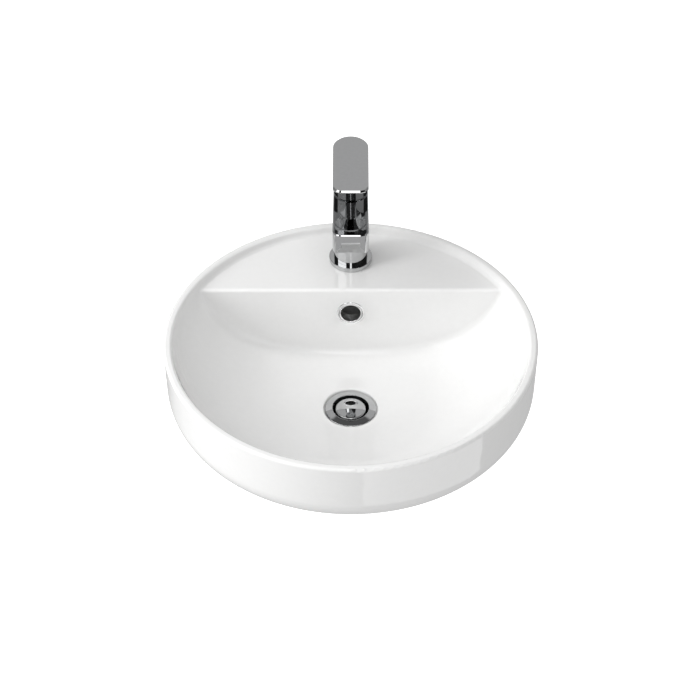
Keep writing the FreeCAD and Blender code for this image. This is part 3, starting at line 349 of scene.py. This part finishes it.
@dataclass(frozen=True)
class Glaze(Finish):
    """White glaze that stops at the bare seat, with painted shade in the overflow duct.

    Args:
        bare_colour: Colour of the bare fired clay.
        bare_roughness: Roughness of the bare fired clay.
        bare_below: Height under which the seat is bare, in metres.
        bare_radius: Radius outside which that height counts, in metres.
        foot: Height under which the waste boss is bare, in metres.
        duct_painted_shade: Painted shade in the overflow duct, a darker colour standing in for the shade
            inside the hole.
        duct_half: Half the width of the duct, in metres.
        duct_top: Height of the duct's head, in metres.
        duct_span: Depths behind the back wall's face where the duct starts and ends, in metres.
        wall_top: Depth and height of the back wall's top edge, in metres.
        wall_slope: How far the wall comes forward for each metre down.
    """

    bare_colour: Colour = (0.74, 0.70, 0.63)
    bare_roughness: float = 0.75
    bare_below: float = 0.6 * MM
    bare_radius: float = 160.0 * MM
    foot: float = -54.8 * MM
    # Painted shade: the duct's walls are the same white glaze, drawn darker to stand in for the shade inside
    # the hole.
    duct_painted_shade: Colour = (0.28, 0.28, 0.28)
    duct_half: float = 22.3 * MM
    duct_top: float = 64.6 * MM
    duct_span: tuple[float, float] = (8.5 * MM, 23.5 * MM)
    wall_top: tuple[float, float] = (95.0 * MM, 79.0 * MM)
    wall_slope: float = math.tan(math.radians(3.0))

    def bare(self, tree: Tree) -> Socket:
        """The bare seat and the boss's foot.

        Args:
            tree: The material's node tree.

        Returns:
            1 on the bare clay, 0 on the glaze.
        """
        x, y, z = tree.axes("Object")
        square = tree.math("ADD", tree.math("MULTIPLY", x, x), tree.math("MULTIPLY", y, y))
        outside = tree.math("GREATER_THAN", tree.math("SQRT", square), self.bare_radius)
        seat = tree.every(outside, tree.math("LESS_THAN", z, self.bare_below))
        return tree.math("MAXIMUM", seat, tree.math("LESS_THAN", z, self.foot))

    def duct(self, tree: Tree) -> Socket:
        """Where shade is painted: the walls of the overflow duct, behind the slanted back wall.

        Args:
            tree: The material's node tree.

        Returns:
            1 in the duct, where the painted shade goes, 0 elsewhere.
        """
        x, y, z = tree.axes("Object")
        wall_foot = self.wall_top[0] - self.wall_top[1] * self.wall_slope
        wall = tree.math("ADD", tree.math("MULTIPLY", z, self.wall_slope), wall_foot)
        depth = tree.math("SUBTRACT", y, wall)
        return tree.every(tree.math("LESS_THAN", tree.math("ABSOLUTE", x), self.duct_half),
                          tree.math("LESS_THAN", z, self.duct_top),
                          tree.math("GREATER_THAN", depth, self.duct_span[0]),
                          tree.math("LESS_THAN", depth, self.duct_span[1]))

    def marked(self, tree: Tree, colour: Socket) -> Socket:
        """Glaze colour, with bare clay on the seat and painted shade in the duct."""
        clay = tree.tint(self.bare(tree), colour, self.bare_colour)
        # The duct's darker colour is painted shade, not a different glaze.
        return tree.tint(self.duct(tree), clay, self.duct_painted_shade)

    def dulled(self, tree: Tree, rough: Socket) -> Socket:
        """Glossy glaze, dull bare clay."""
        return tree.blend(self.bare(tree), rough, self.bare_roughness)


GLAZE = Glaze(
    name="white_glaze", slot="china", colour=(0.90, 0.90, 0.895), metallic=0.0, roughness=(0.04, 0.07),
    tint=0.015, grain=Grain.SPECKLE, grain_size=6.0 * MM, relief=4e-6, coat=0.4)
CHROME = Finish(
    name="polished_chrome", slot="chrome", colour=(0.60, 0.605, 0.61), metallic=1.0, roughness=(0.02, 0.05),
    tint=0.03, grain=Grain.SPECKLE, grain_size=4.0 * MM, relief=1e-6)
# The overflow trim is the same chrome as the tap, drawn with a paler colour as a painted highlight so that
# the ring shows brighter than its lighting makes it.
TRIM_CHROME_PAINTED_BRIGHT = Finish(
    name="trim_chrome_painted_bright", slot="chrome", colour=(0.90, 0.90, 0.90), metallic=1.0, roughness=(0.03, 0.06),
    tint=0.02, grain=Grain.SPECKLE, grain_size=4.0 * MM, relief=1e-6)
RUBBER = Finish(
    name="moulded_rubber", slot="rubber", colour=(0.028, 0.028, 0.03), metallic=0.0, roughness=(0.55, 0.75),
    tint=0.35, grain=Grain.SPECKLE, grain_size=0.8 * MM, relief=3e-5, specular=0.3)
BRASS = Finish(
    name="turned_brass", slot="brass", colour=(0.62, 0.43, 0.16), metallic=1.0, roughness=(0.18, 0.34),
    tint=0.18, grain=Grain.TURNED, grain_size=0.6 * MM, relief=1e-5)
STEEL = Finish(
    name="drawn_steel", slot="steel", colour=(0.50, 0.50, 0.51), metallic=1.0, roughness=(0.22, 0.38),
    tint=0.14, grain=Grain.DRAWN, grain_size=0.5 * MM, relief=1e-5)
PLASTIC = Finish(
    name="satin_plastic", slot="plastic", colour=(0.72, 0.72, 0.70), metallic=0.0, roughness=(0.32, 0.46),
    tint=0.06, grain=Grain.SPECKLE, grain_size=0.9 * MM, relief=1e-5)
ALUMINA = Finish(
    name="lapped_alumina", slot="disc", colour=(0.80, 0.78, 0.73), metallic=0.0, roughness=(0.16, 0.28),
    tint=0.05, grain=Grain.SPECKLE, grain_size=0.5 * MM, relief=4e-6)
CAP = Finish(
    name="grey_cap", slot="cap", colour=(0.35, 0.355, 0.36), metallic=0.0, roughness=(0.18, 0.26),
    tint=0.08, grain=Grain.SPECKLE, grain_size=1.2 * MM, relief=6e-6)


def points_of(mesh: bpy.types.Mesh) -> np.ndarray:
    """A mesh's points.

    Args:
        mesh: The mesh.

    Returns:
        An array of (points, 3), in metres.
    """
    points = np.empty(len(mesh.vertices) * 3)
    mesh.vertices.foreach_get("co", points)
    return points.reshape(-1, 3)


def move_points(mesh: bpy.types.Mesh, points: np.ndarray) -> None:
    """Put a mesh's points in new places."""
    mesh.vertices.foreach_set("co", points.ravel())
    mesh.update()


def shade(mesh: bpy.types.Mesh, crease: float = CREASE) -> None:
    """Shade a mesh's curved faces smooth.

    Args:
        mesh: The mesh.
        crease: Angle between faces, in degrees, over which an edge stays sharp.
    """
    mesh.polygons.foreach_set("use_smooth", np.ones(len(mesh.polygons), bool))
    mesh.set_sharp_from_angle(angle=math.radians(crease))


def dressed(mesh: bpy.types.Mesh, node: str, finish: Finish) -> bpy.types.Object:
    """A piece made from a mesh, shaded and finished, in place of a CAD node.

    Args:
        mesh: The piece's mesh.
        node: The CAD node that the piece replaces.
        finish: The piece's finish.

    Returns:
        The piece, riding on the node's body.
    """
    shade(mesh)
    mesh.materials.clear()
    mesh.materials.append(finish.material())
    piece = bpy.data.objects.new(node + "_skin", mesh)
    bpy.context.scene.collection.objects.link(piece)
    weighted = piece.modifiers.new("flats_stay_flat", "WEIGHTED_NORMAL")
    weighted.keep_sharp = True
    weighted.weight = FLAT_PULL
    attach(piece, frame["nodes"][node]["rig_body"])
    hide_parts(node)
    log.info("%s: %d faces, %s", piece.name, len(mesh.polygons), finish.name)
    return piece


def smoothed(node: str, finish: Finish) -> bpy.types.Object:
    """A copy of a CAD node with its triangles joined and its curved faces shaded smooth.

    Args:
        node: The CAD node that the piece replaces.
        finish: The piece's finish.

    Returns:
        The piece, riding on the node's body.
    """
    mesh = frame["nodes"][node].data.copy()
    mesh.name = node + "_skin"
    work = bmesh.new()
    work.from_mesh(mesh)
    bmesh.ops.remove_doubles(work, verts=work.verts, dist=JOIN)
    work.to_mesh(mesh)
    work.free()
    stored = mesh.attributes.get("custom_normal")
    if stored is not None:
        mesh.attributes.remove(stored)
    return dressed(mesh, node, finish)


def turned(node: str, finish: Finish, section: np.ndarray, centre: Sequence[float],
           lean: float = 0.0) -> bpy.types.Object:
    """A ring turned about an axis, in place of a CAD node.

    Every point of the closed section goes round the axis: by its radius times the angle's cosine along X, by
    its radius times the angle's sine square to X and the axis, and by its height along the axis.

    Args:
        node: The CAD node that the piece replaces.
        finish: The piece's finish.
        section: Radius and height of the section's points, in metres, in the order outside, top, inside.
        centre: The point on the axis at height 0, in metres.
        lean: Degrees by which the axis leans from straight up towards the front.

    Returns:
        The piece, riding on the node's body.
    """
    angles = np.linspace(0.0, 2 * np.pi, RING_COLUMNS, endpoint=False)[None, :, None]
    slope = math.radians(lean)
    axis = np.array([0.0, -math.sin(slope), math.cos(slope)])
    square = np.array([0.0, math.cos(slope), math.sin(slope)])
    radius, height = section[:, None, :1], section[:, None, 1:]
    across = np.cos(angles) * np.array([1.0, 0.0, 0.0]) + np.sin(angles) * square
    grid = np.asarray(centre) + radius * across + height * axis
    index = np.arange(grid.shape[0] * RING_COLUMNS).reshape(-1, RING_COLUMNS)
    ahead, above = np.roll(index, -1, axis=1), np.roll(index, -1, axis=0)
    faces = np.stack([index, ahead, np.roll(above, -1, axis=1), above], axis=-1).reshape(-1, 4)
    mesh = bpy.data.meshes.new(node + "_skin")
    mesh.from_pydata(grid.reshape(-1, 3), [], faces)
    return dressed(mesh, node, finish)


@dataclass(frozen=True)
class Thread:
    """A screw thread on a round face that runs along Z.

    Args:
        radius: Radius of the plain face, in metres.
        bottom: Height where the face starts, in metres.
        top: Height where it ends, in metres.
        pitch: Rise of one turn, in metres.
        depth: How far the thread is cut into the face, in metres.
        axis: X and Y of the axis, in metres.
        rows_per_turn: Rows of points for each turn.
        near: Distance, in metres, within which a point lies on the plain face and two points are one.
        crease: Angle between faces, in degrees, over which an edge of the threaded piece stays sharp.
    """

    radius: float
    bottom: float
    top: float
    pitch: float
    depth: float
    axis: tuple[float, float] = (0.0, 0.0)
    rows_per_turn: int = 8
    near: float = 0.02 * MM
    crease: float = 50.0

    def surface(self, angles: np.ndarray) -> np.ndarray:
        """The thread's points.

        At each angle and height the radius is the plain one less the depth times a wave. The wave rises and
        falls once for each pitch of height, runs back by one pitch for each turn of angle, and fades out over
        the first and last turn, so that the end rows lie on the plain face.

        Args:
            angles: The columns' angles, in radians.

        Returns:
            An array of (rows, columns, 3), in metres.
        """
        rows = round((self.top - self.bottom) / self.pitch * self.rows_per_turn)
        height = np.linspace(self.bottom, self.top, rows + 1)[:, None]
        turn = (height - self.bottom) / self.pitch - angles[None, :] / (2 * np.pi)
        fade = np.clip(np.minimum(height - self.bottom, self.top - height) / self.pitch, 0.0, 1.0)
        radius = self.radius - self.depth * fade * (0.5 - 0.5 * np.cos(2 * np.pi * turn))
        return np.stack([self.axis[0] + radius * np.cos(angles), self.axis[1] + radius * np.sin(angles),
                         np.broadcast_to(height, radius.shape)], axis=-1)

    def cut(self, piece: bpy.types.Object) -> None:
        """Put the thread in place of a piece's plain face, between the same two rings of points.

        Args:
            piece: The piece that has the plain face.
        """
        mesh = piece.data
        x, y, z = points_of(mesh).T
        x, y = x - self.axis[0], y - self.axis[1]
        at_radius = np.abs(np.hypot(x, y) - self.radius) < self.near
        on_face = at_radius & (z > self.bottom - self.near) & (z < self.top + self.near)
        ring = on_face & (np.abs(z - self.top) < self.near)
        grid = self.surface(np.sort(np.arctan2(y[ring], x[ring])))
        work = bmesh.new()
        work.from_mesh(mesh)
        plain = [face for face in work.faces if all(on_face[corner.index] for corner in face.verts)]
        bmesh.ops.delete(work, geom=plain, context="FACES")
        sheet = bpy.data.meshes.new("thread")
        index = np.arange(grid.shape[0] * grid.shape[1]).reshape(grid.shape[:2])
        ahead = np.roll(index, -1, axis=1)
        faces = np.stack([index[:-1], ahead[:-1], ahead[1:], index[1:]], axis=-1).reshape(-1, 4)
        sheet.from_pydata(grid.reshape(-1, 3), [], faces)
        work.from_mesh(sheet)
        bmesh.ops.remove_doubles(work, verts=work.verts, dist=self.near)
        work.to_mesh(mesh)
        work.free()
        shade(mesh, self.crease)
        log.info("%s: thread of %d rows", piece.name, grid.shape[0])


@dataclass
class SubAssembly:
    """Pieces that belong together.

    Args:
        nodes: Finish of each CAD node that is dressed as it is.
    """

    nodes: dict[str, Finish]

    def dress(self) -> dict[str, bpy.types.Object]:
        """The dressed pieces, by the names of their nodes."""
        return {node: smoothed(node, finish) for node, finish in self.nodes.items()}


@dataclass
class Basin(SubAssembly):
    """The china body and the trim in its overflow.

    Args:
        nodes: Finish of each CAD node that is dressed as it is.
        trim_radius: Outside radius of the half-round trim, in metres.
        trim_bore: Radius of its bore, in metres.
        trim_crown: Height of its crown over the china, in metres.
        crown_points: Points across the crown.
        sleeve_wall: Wall of its sleeve, in metres.
        sleeve_length: Length of its sleeve, in metres.
        trim_centre: Where the hole's axis meets the back wall, in metres.
        trim_lean: Degrees by which that axis leans from straight up towards the front.
    """

    nodes: dict[str, Finish] = field(default_factory=lambda: {
        "basin_body": GLAZE, "overflow_collar": RUBBER})
    trim_radius: float = 16.0 * MM
    trim_bore: float = 11.5 * MM
    trim_crown: float = 1.0 * MM
    crown_points: int = 25
    sleeve_wall: float = 1.0 * MM
    sleeve_length: float = 12.0 * MM
    trim_centre: tuple[float, float, float] = (0.0, 93.229 * MM, 45.2 * MM)
    trim_lean: float = 87.0

    def build(self) -> None:
        """Dress the china and turn its trim."""
        self.dress()
        # The trim's paler chrome is a painted highlight on the ring.
        turned("overflow_ring", TRIM_CHROME_PAINTED_BRIGHT, self.trim_section(), self.trim_centre, self.trim_lean)

    def trim_section(self) -> np.ndarray:
        """Half an ellipse over the china, from the outside to the bore, and then the sleeve.

        Returns:
            Radius and height of the section's points, in metres.
        """
        turn = np.linspace(0.0, np.pi, self.crown_points)
        middle, half = (self.trim_radius + self.trim_bore) / 2, (self.trim_radius - self.trim_bore) / 2
        crown = np.stack([middle + half * np.cos(turn), self.trim_crown * np.sin(turn)], axis=-1)
        outer = self.trim_bore + self.sleeve_wall
        sleeve = [(self.trim_bore, -self.sleeve_length), (outer, -self.sleeve_length), (outer, 0.0)]
        return np.concatenate([crown, sleeve])


@dataclass
class MixerTap(SubAssembly):
    """Body, lever and aerator of the tap, and the ring at its foot.

    Args:
        nodes: Finish of each CAD node that is dressed as it is.
        ring_radius: Outside radius of the ring at the foot, in metres.
        ring_height: Height of that ring, in metres.
        ring_round: Round on its top edge, in metres.
        round_points: Points along that round.
        ring_seat: Radius of the seat in which the column stands, in metres.
        ring_floor: Height of the seat's floor, in metres.
        ring_bore: Radius of the hole in that floor, in metres.
        ring_centre: Middle of the ring's underside, in metres.
        spout_front: Depth of the spout's front face, in metres.
        spout_top: Height of that face's top edge, in metres.
        spout_corner: Round of the spout's front corners, in metres.
        spout_lean: Degrees by which the front face leans back.
        face_depth: Height of the face above its lip, in metres.
        lip_run: How far the lip runs back in the solid, in metres.
        lip_height: Height of the lip, in metres.
        outlet_half: Half the width round the outlet in which nothing moves, in metres.
        body_crease: Angle between faces, in degrees, over which an edge of the body stays sharp.
    """

    nodes: dict[str, Finish] = field(default_factory=lambda: {
        "tap_base_seal": RUBBER, "tap_body": CHROME, "tap_foot": BRASS, "dome_cover": CHROME,
        "lever_handle": CHROME, "lever_grub_screw": STEEL, "lever_screw_cap": CAP,
        "aerator_washer": RUBBER, "aerator_housing": CHROME, "aerator_insert": PLASTIC})
    ring_radius: float = 25.0 * MM
    ring_height: float = 5.0 * MM
    ring_round: float = 0.6 * MM
    round_points: int = 7
    ring_seat: float = 19.6 * MM
    ring_floor: float = 0.8 * MM
    ring_bore: float = 16.7 * MM
    ring_centre: tuple[float, float, float] = (0.0, 151.0 * MM, 79.6 * MM)
    spout_front: float = 53.6 * MM
    spout_top: float = 192.0 * MM
    spout_corner: float = 10.0 * MM
    spout_lean: float = 11.0
    face_depth: float = 13.6 * MM
    lip_run: float = 1.8 * MM
    lip_height: float = 8.4 * MM
    outlet_half: float = 10.0 * MM
    body_crease: float = 9.0

    def build(self) -> None:
        """Dress the tap, lean the spout's face back and turn the ring at the foot."""
        pieces = self.dress()
        self.lean_face(pieces["tap_body"].data)
        turned("tap_base_ring", CHROME, self.ring_section(), self.ring_centre)

    def lean_face(self, mesh: bpy.types.Mesh) -> None:
        """Lean the spout's front face back, with its top edge kept in place.

        Every point of the front end moves forwards by its depth under the top edge times the lean's tangent,
        and on the lip also by as much as the lip runs back there, so that face and lip share one plane. The
        move fades out from the front face to the end of the corners' round. The outlet keeps its place.

        Args:
            mesh: The tap body's mesh.
        """
        points = points_of(mesh)
        depth = np.clip(self.spout_top - points[:, 2], 0.0, None)
        share = np.clip(1.0 - (points[:, 1] - self.spout_front) / self.spout_corner, 0.0, 1.0)
        outside = np.abs(points[:, 0]) > self.outlet_half
        lip = np.clip(depth - self.face_depth, 0.0, None)
        move = depth * math.tan(math.radians(self.spout_lean)) + lip * self.lip_run / self.lip_height
        points[:, 1] -= np.where(outside, move * share, 0.0)
        move_points(mesh, points)
        shade(mesh, self.body_crease)

    def ring_section(self) -> np.ndarray:
        """A flat-topped ring with a rounded top edge, and the seat's floor inside it.

        Returns:
            Radius and height of the section's points, in metres.
        """
        turn = np.linspace(0.0, np.pi / 2, self.round_points)
        edge = np.stack([self.ring_radius - self.ring_round * (1.0 - np.cos(turn)),
                         self.ring_height - self.ring_round * (1.0 - np.sin(turn))], axis=-1)
        seat = [(self.ring_seat, self.ring_height), (self.ring_seat, self.ring_floor),
                (self.ring_bore, self.ring_floor), (self.ring_bore, 0.0), (self.ring_radius, 0.0)]
        return np.concatenate([edge, seat])


@dataclass
class Cartridge(SubAssembly):
    """Ceramic disc cartridge inside the tap.

    Args:
        nodes: Finish of each CAD node that is dressed as it is.
    """

    nodes: dict[str, Finish] = field(default_factory=lambda: {
        "cartridge_seal": RUBBER, "cartridge_base": PLASTIC, "fixed_disc": ALUMINA, "moving_disc": ALUMINA,
        "disc_driver": PLASTIC, "cartridge_housing": PLASTIC, "cartridge_turret": PLASTIC,
        "stem_pin": STEEL, "lever_stem": STEEL, "cartridge_nut": BRASS})

    def build(self) -> None:
        """Dress the cartridge's pieces."""
        self.dress()


@dataclass
class TapFixing(SubAssembly):
    """Stud, crescents and nut that hold the tap on the shelf.

    Args:
        nodes: Finish of each CAD node that is dressed as it is.
        stud_thread: Thread of the mounting stud.
    """

    nodes: dict[str, Finish] = field(default_factory=lambda: {
        "mounting_stud": STEEL, "clamp_gasket": RUBBER, "clamp_plate": STEEL, "clamp_nut": BRASS})
    stud_thread: Thread = Thread(radius=3.9 * MM, bottom=29.6 * MM, top=87.6 * MM, pitch=1.25 * MM,
                                 depth=0.65 * MM, axis=(0.0, 141.5 * MM))

    def build(self) -> None:
        """Dress the fixing and cut the stud's thread."""
        pieces = self.dress()
        self.stud_thread.cut(pieces["mounting_stud"])


@dataclass
class Waste(SubAssembly):
    """Flanged waste with its seals and nut, and the plug in it.

    Args:
        nodes: Finish of each CAD node that is dressed as it is.
        tail_thread: Thread at the tail's lower end.
        flange_radius: Outside radius of the flange, in metres.
        throat_radius: Radius where the flange's top meets the throat, in metres.
        flange_under: Height over which a point belongs to the flange's top, in metres.
        lip_rise: How far the top rises at the throat, in metres.
        edge_drop: How far the top falls at the outside, in metres.
        spring_foot: Height of the spring's lower end, in metres; not used.
        spring_closed: Share of the spring's length that is left when the plug is down; not used.
    """

    nodes: dict[str, Finish] = field(default_factory=lambda: {
        "waste_body": CHROME, "waste_seal": RUBBER, "waste_lower_seal": RUBBER, "waste_washer": PLASTIC,
        "waste_back_nut": BRASS, "plug_cap": CHROME, "plug_seal": RUBBER, "plug_sleeve": PLASTIC,
        "click_core": PLASTIC, "click_spring": STEEL})
    tail_thread: Thread = Thread(radius=20.95 * MM, bottom=-99.0 * MM, top=-78.0 * MM, pitch=2.309 * MM,
                                 depth=1.3 * MM)
    flange_radius: float = 29.75 * MM
    throat_radius: float = 21.1 * MM
    flange_under: float = -19.9 * MM
    lip_rise: float = 1.4 * MM
    edge_drop: float = 1.5 * MM
    spring_foot: float = -41.8 * MM
    spring_closed: float = 0.455

    def build(self) -> None:
        """Dress the waste and its plug, thread the tail, crown the flange and give the spring a mesh of its
        own.
        """
        pieces = self.dress()
        self.tail_thread.cut(pieces["waste_body"])
        self.crown(pieces["waste_body"].data)
        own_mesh(pieces["click_spring"])

    def crown(self, mesh: bpy.types.Mesh) -> None:
        """Slope the flange's top outwards.

        Every point of the top rises by the lip's rise at the throat, falls by the edge's drop at the outside,
        and moves by a straight run between the two.

        Args:
            mesh: The waste body's mesh.
        """
        points = points_of(mesh)
        radius = np.hypot(points[:, 0], points[:, 1])
        share = np.clip((radius - self.throat_radius) / (self.flange_radius - self.throat_radius), 0.0, 1.0)
        lift = self.lip_rise - (self.lip_rise + self.edge_drop) * share
        points[:, 2] += np.where(points[:, 2] > self.flange_under, lift, 0.0)
        move_points(mesh, points)


@dataclass(frozen=True)
class Card:
    """A patch of the studio's walls that mirrors see, as limits on the direction towards it.

    Args:
        name: Where the patch is.
        x: Lowest and highest sideways part of the direction.
        y: Lowest and highest part towards the back.
        z: Lowest and highest upward part.
        strength: Brightness of the patch.
        edge: Width of its soft edge.
    """

    name: str
    x: tuple[float, float]
    y: tuple[float, float]
    z: tuple[float, float]
    strength: float
    edge: float

    def over(self, tree: Tree, axes: Sequence[Socket], wall: Socket | float) -> Socket:
        """The walls' brightness with this patch on them.

        Args:
            tree: The world's node tree.
            axes: The three parts of the direction.
            wall: Brightness of the walls without the patch.

        Returns:
            The brightness, from a node that bears the patch's name.
        """
        masks: list[Socket] = []
        for axis, (low, high) in zip(axes, (self.x, self.y, self.z)):
            if low > -1.0:
                masks.append(tree.step(axis, low - self.edge, low))
            if high < 1.0:
                masks.append(tree.step(axis, high + self.edge, high))
        lit = tree.blend(tree.every(*masks), wall, self.strength)
        lit.node.label = self.name
        return lit


@dataclass(frozen=True)
class Softbox:
    """An area light that faces the basin and lights matt surfaces.

    Args:
        name: Light name.
        azimuth: Degrees to the right of the front.
        elevation: Degrees above the bench.
        size: Width and height, in metres.
        power: Power, in watts.
    """

    name: str
    azimuth: float
    elevation: float
    size: tuple[float, float]
    power: float

    def hang(self, distance: float) -> None:
        """Put the light in its place.

        Args:
            distance: Distance from the middle of the basin, in metres.
        """
        light = bpy.data.lights.new(self.name, "AREA")
        light.shape = "RECTANGLE"
        light.size, light.size_y = self.size
        light.energy = self.power
        lamp = bpy.data.objects.new(self.name, light)
        turn, rise = math.radians(self.azimuth), math.radians(self.elevation)
        level = math.cos(rise)
        place = Vector((math.sin(turn) * level, -math.cos(turn) * level, math.sin(rise))) * distance
        lamp.location = place
        lamp.rotation_euler = (-place).to_track_quat("-Z", "Y").to_euler()
        lamp.visible_glossy = False
        bpy.context.scene.collection.objects.link(lamp)


@dataclass
class Studio:
    """Floor, light and camera.

    Args:
        camera_place: Place of the camera, in metres.
        camera_pitch: Degrees by which it looks down.
        camera_lens: Focal length, in millimetres.
        camera_sensor: Width of the sensor, in millimetres.
        camera_shift: Sideways shift of the picture, as a share of its width.
        floor_drop: Gap between the waste's end and the floor, in metres.
        floor_size: Length of the floor's sides, in metres.
        floor_grey: Grey of the floor.
        floor_roughness: Roughness of the floor.
        floor_glow: Strength of the floor's own light.
        fill_above: Brightness of the fill from above.
        fill_below: Brightness of the fill from below.
        fill_edge: Upward part of the direction where the fill from below starts to give way; it ends at 0.
        dark_wall: Brightness of the walls between the cards.
        softbox_distance: Distance of the softboxes from the middle of the basin, in metres.
        softboxes: The area lights.
        cards: What mirrors see; each card lies over the ones before it.
    """

    camera_place: tuple[float, float, float] = (0.0, -2.1227, 1.9671)
    camera_pitch: float = 41.769
    camera_lens: float = 130.16
    camera_sensor: float = 36.0
    camera_shift: float = -0.001
    floor_drop: float = 4.0 * MM
    floor_size: float = 24.0
    floor_grey: float = 0.9
    floor_roughness: float = 0.9
    floor_glow: float = 0.8
    fill_above: float = 0.42
    fill_below: float = 0.76
    fill_edge: float = -0.20
    dark_wall: float = 0.02
    softbox_distance: float = 2.6
    softboxes: tuple[Softbox, ...] = (
        Softbox("key_softbox", -75.0, 30.0, (0.7, 1.4), 23.6),
        Softbox("front_softbox", 0.0, 60.0, (1.4, 1.4), 17.5),
        Softbox("side_softbox", -90.0, 60.0, (1.4, 1.4), 11.0),
        Softbox("low_side_softbox", -90.0, 10.0, (1.4, 1.4), 14.0),
        Softbox("low_front_softbox", -45.0, 10.0, (1.4, 1.4), 10.0),
    )
    cards: tuple[Card, ...] = (
        Card("ground", (-1.0, 1.0), (-1.0, 1.0), (-1.0, -0.20), 0.52, 0.20),
        Card("dark low front", (-0.36, 0.36), (-1.0, -0.70), (-0.50, -0.36), 0.06, 0.02),
        Card("thin low line", (-0.02, 0.02), (-1.0, -0.70), (-0.50, -0.36), 1.20, 0.02),
        Card("lit low left", (-0.75, -0.45), (-1.0, -0.40), (-0.56, -0.44), 1.20, 0.015),
        Card("dark low right", (0.40, 1.0), (-0.85, 0.30), (-0.645, -0.44), 0.05, 0.015),
        Card("lit ground", (0.10, 0.74), (-1.0, 0.02), (-0.80, -0.66), 1.30, 0.015),
        Card("walls all round", (-1.0, 1.0), (-1.0, 1.0), (0.16, 0.50), 0.28, 0.06),
        Card("front wall", (-0.60, 0.60), (-1.0, -0.50), (0.12, 0.50), 0.95, 0.06),
        Card("dark upper part", (-1.0, 1.0), (-1.0, 1.0), (0.84, 1.0), 0.11, 0.04),
        Card("back panel", (-0.36, 0.36), (0.30, 1.0), (0.40, 0.80), 0.52, 0.05),
        Card("back horizon", (-0.90, 0.90), (0.45, 1.0), (-0.10, 0.10), 0.52, 0.04),
        Card("ceiling", (-1.0, 1.0), (-1.0, 1.0), (0.98, 1.0), 0.85, 0.015),
        Card("dim left", (-1.0, -0.41), (-0.64, 0.06), (0.40, 0.85), 0.32, 0.04),
        Card("dim right", (0.41, 1.0), (-0.64, 0.06), (0.40, 0.624), 0.32, 0.008),
        Card("lit left", (-1.0, -0.41), (-0.64, 0.06), (0.635, 0.85), 2.40, 0.006),
        Card("upright front strip", (-0.06, 0.06), (-1.0, -0.40), (0.58, 0.90), 2.40, 0.03),
        Card("level front strip", (-0.45, 0.45), (-1.0, -0.25), (0.85, 0.90), 2.80, 0.015),
    )

    def build(self) -> None:
        """Set the whole studio up."""
        self.world()
        self.floor()
        for softbox in self.softboxes:
            softbox.hang(self.softbox_distance)
        self.camera()

    def world(self) -> None:
        """Even white fill for matt surfaces; mirrors see dark walls with cards on them."""
        world = bpy.data.worlds.new("studio_walls")
        bpy.context.scene.world = world
        world.use_nodes = True
        world.cycles.sampling_method = "NONE"
        tree = Tree(world.node_tree)
        axes = tree.axes("Generated")
        walls: Socket | float = self.dark_wall
        for card in self.cards:
            walls = card.over(tree, axes, walls)
        fill = tree.blend(tree.step(axes[2], self.fill_edge, 0.0), self.fill_below, self.fill_above)
        matt = tree.add("LightPath").outputs["Is Diffuse Ray"]
        background = world.node_tree.nodes["Background"]
        background.inputs["Color"].default_value = WHITE
        tree.feed(background.inputs["Strength"], tree.blend(matt, walls, fill))

    def floor(self) -> None:
        """A large pale floor just under the waste, which neither lights the basin nor shows in mirrors."""
        half = self.floor_size / 2
        z = CAD_BOX[0].z - self.floor_drop
        corners = [(-half, -half, z), (half, -half, z), (half, half, z), (-half, half, z)]
        mesh = bpy.data.meshes.new("floor")
        mesh.from_pydata(corners, [], [(0, 1, 2, 3)])
        floor = bpy.data.objects.new("floor", mesh)
        bpy.context.scene.collection.objects.link(floor)
        material = bpy.data.materials.new("pale_floor")
        material.use_nodes = True
        shader = material.node_tree.nodes["Principled BSDF"]
        shader.inputs["Base Color"].default_value = (self.floor_grey, self.floor_grey, self.floor_grey, 1.0)
        shader.inputs["Roughness"].default_value = self.floor_roughness
        shader.inputs["Emission Color"].default_value = WHITE
        shader.inputs["Emission Strength"].default_value = self.floor_glow
        mesh.materials.append(material)
        floor.visible_diffuse = False
        floor.visible_glossy = False

    def camera(self) -> None:
        """Camera at the photograph's viewing angle and distance."""
        data = bpy.data.cameras.new("camera")
        data.lens = self.camera_lens
        data.sensor_width = self.camera_sensor
        data.shift_x = self.camera_shift
        camera = bpy.data.objects.new("camera", data)
        camera.location = self.camera_place
        camera.rotation_euler = (math.radians(90.0 - self.camera_pitch), 0.0, 0.0)
        bpy.context.scene.collection.objects.link(camera)
        bpy.context.scene.camera = camera
        bpy.context.scene.view_settings.view_transform = "Standard"


def main() -> None:
    """Build every sub-assembly, then the studio."""
    logging.basicConfig(level=logging.INFO, format="%(message)s")
    for assembly in (Basin(), MixerTap(), Cartridge(), TapFixing(), Waste(), Studio()):
        assembly.build()


if __name__ == "__main__":
    main()
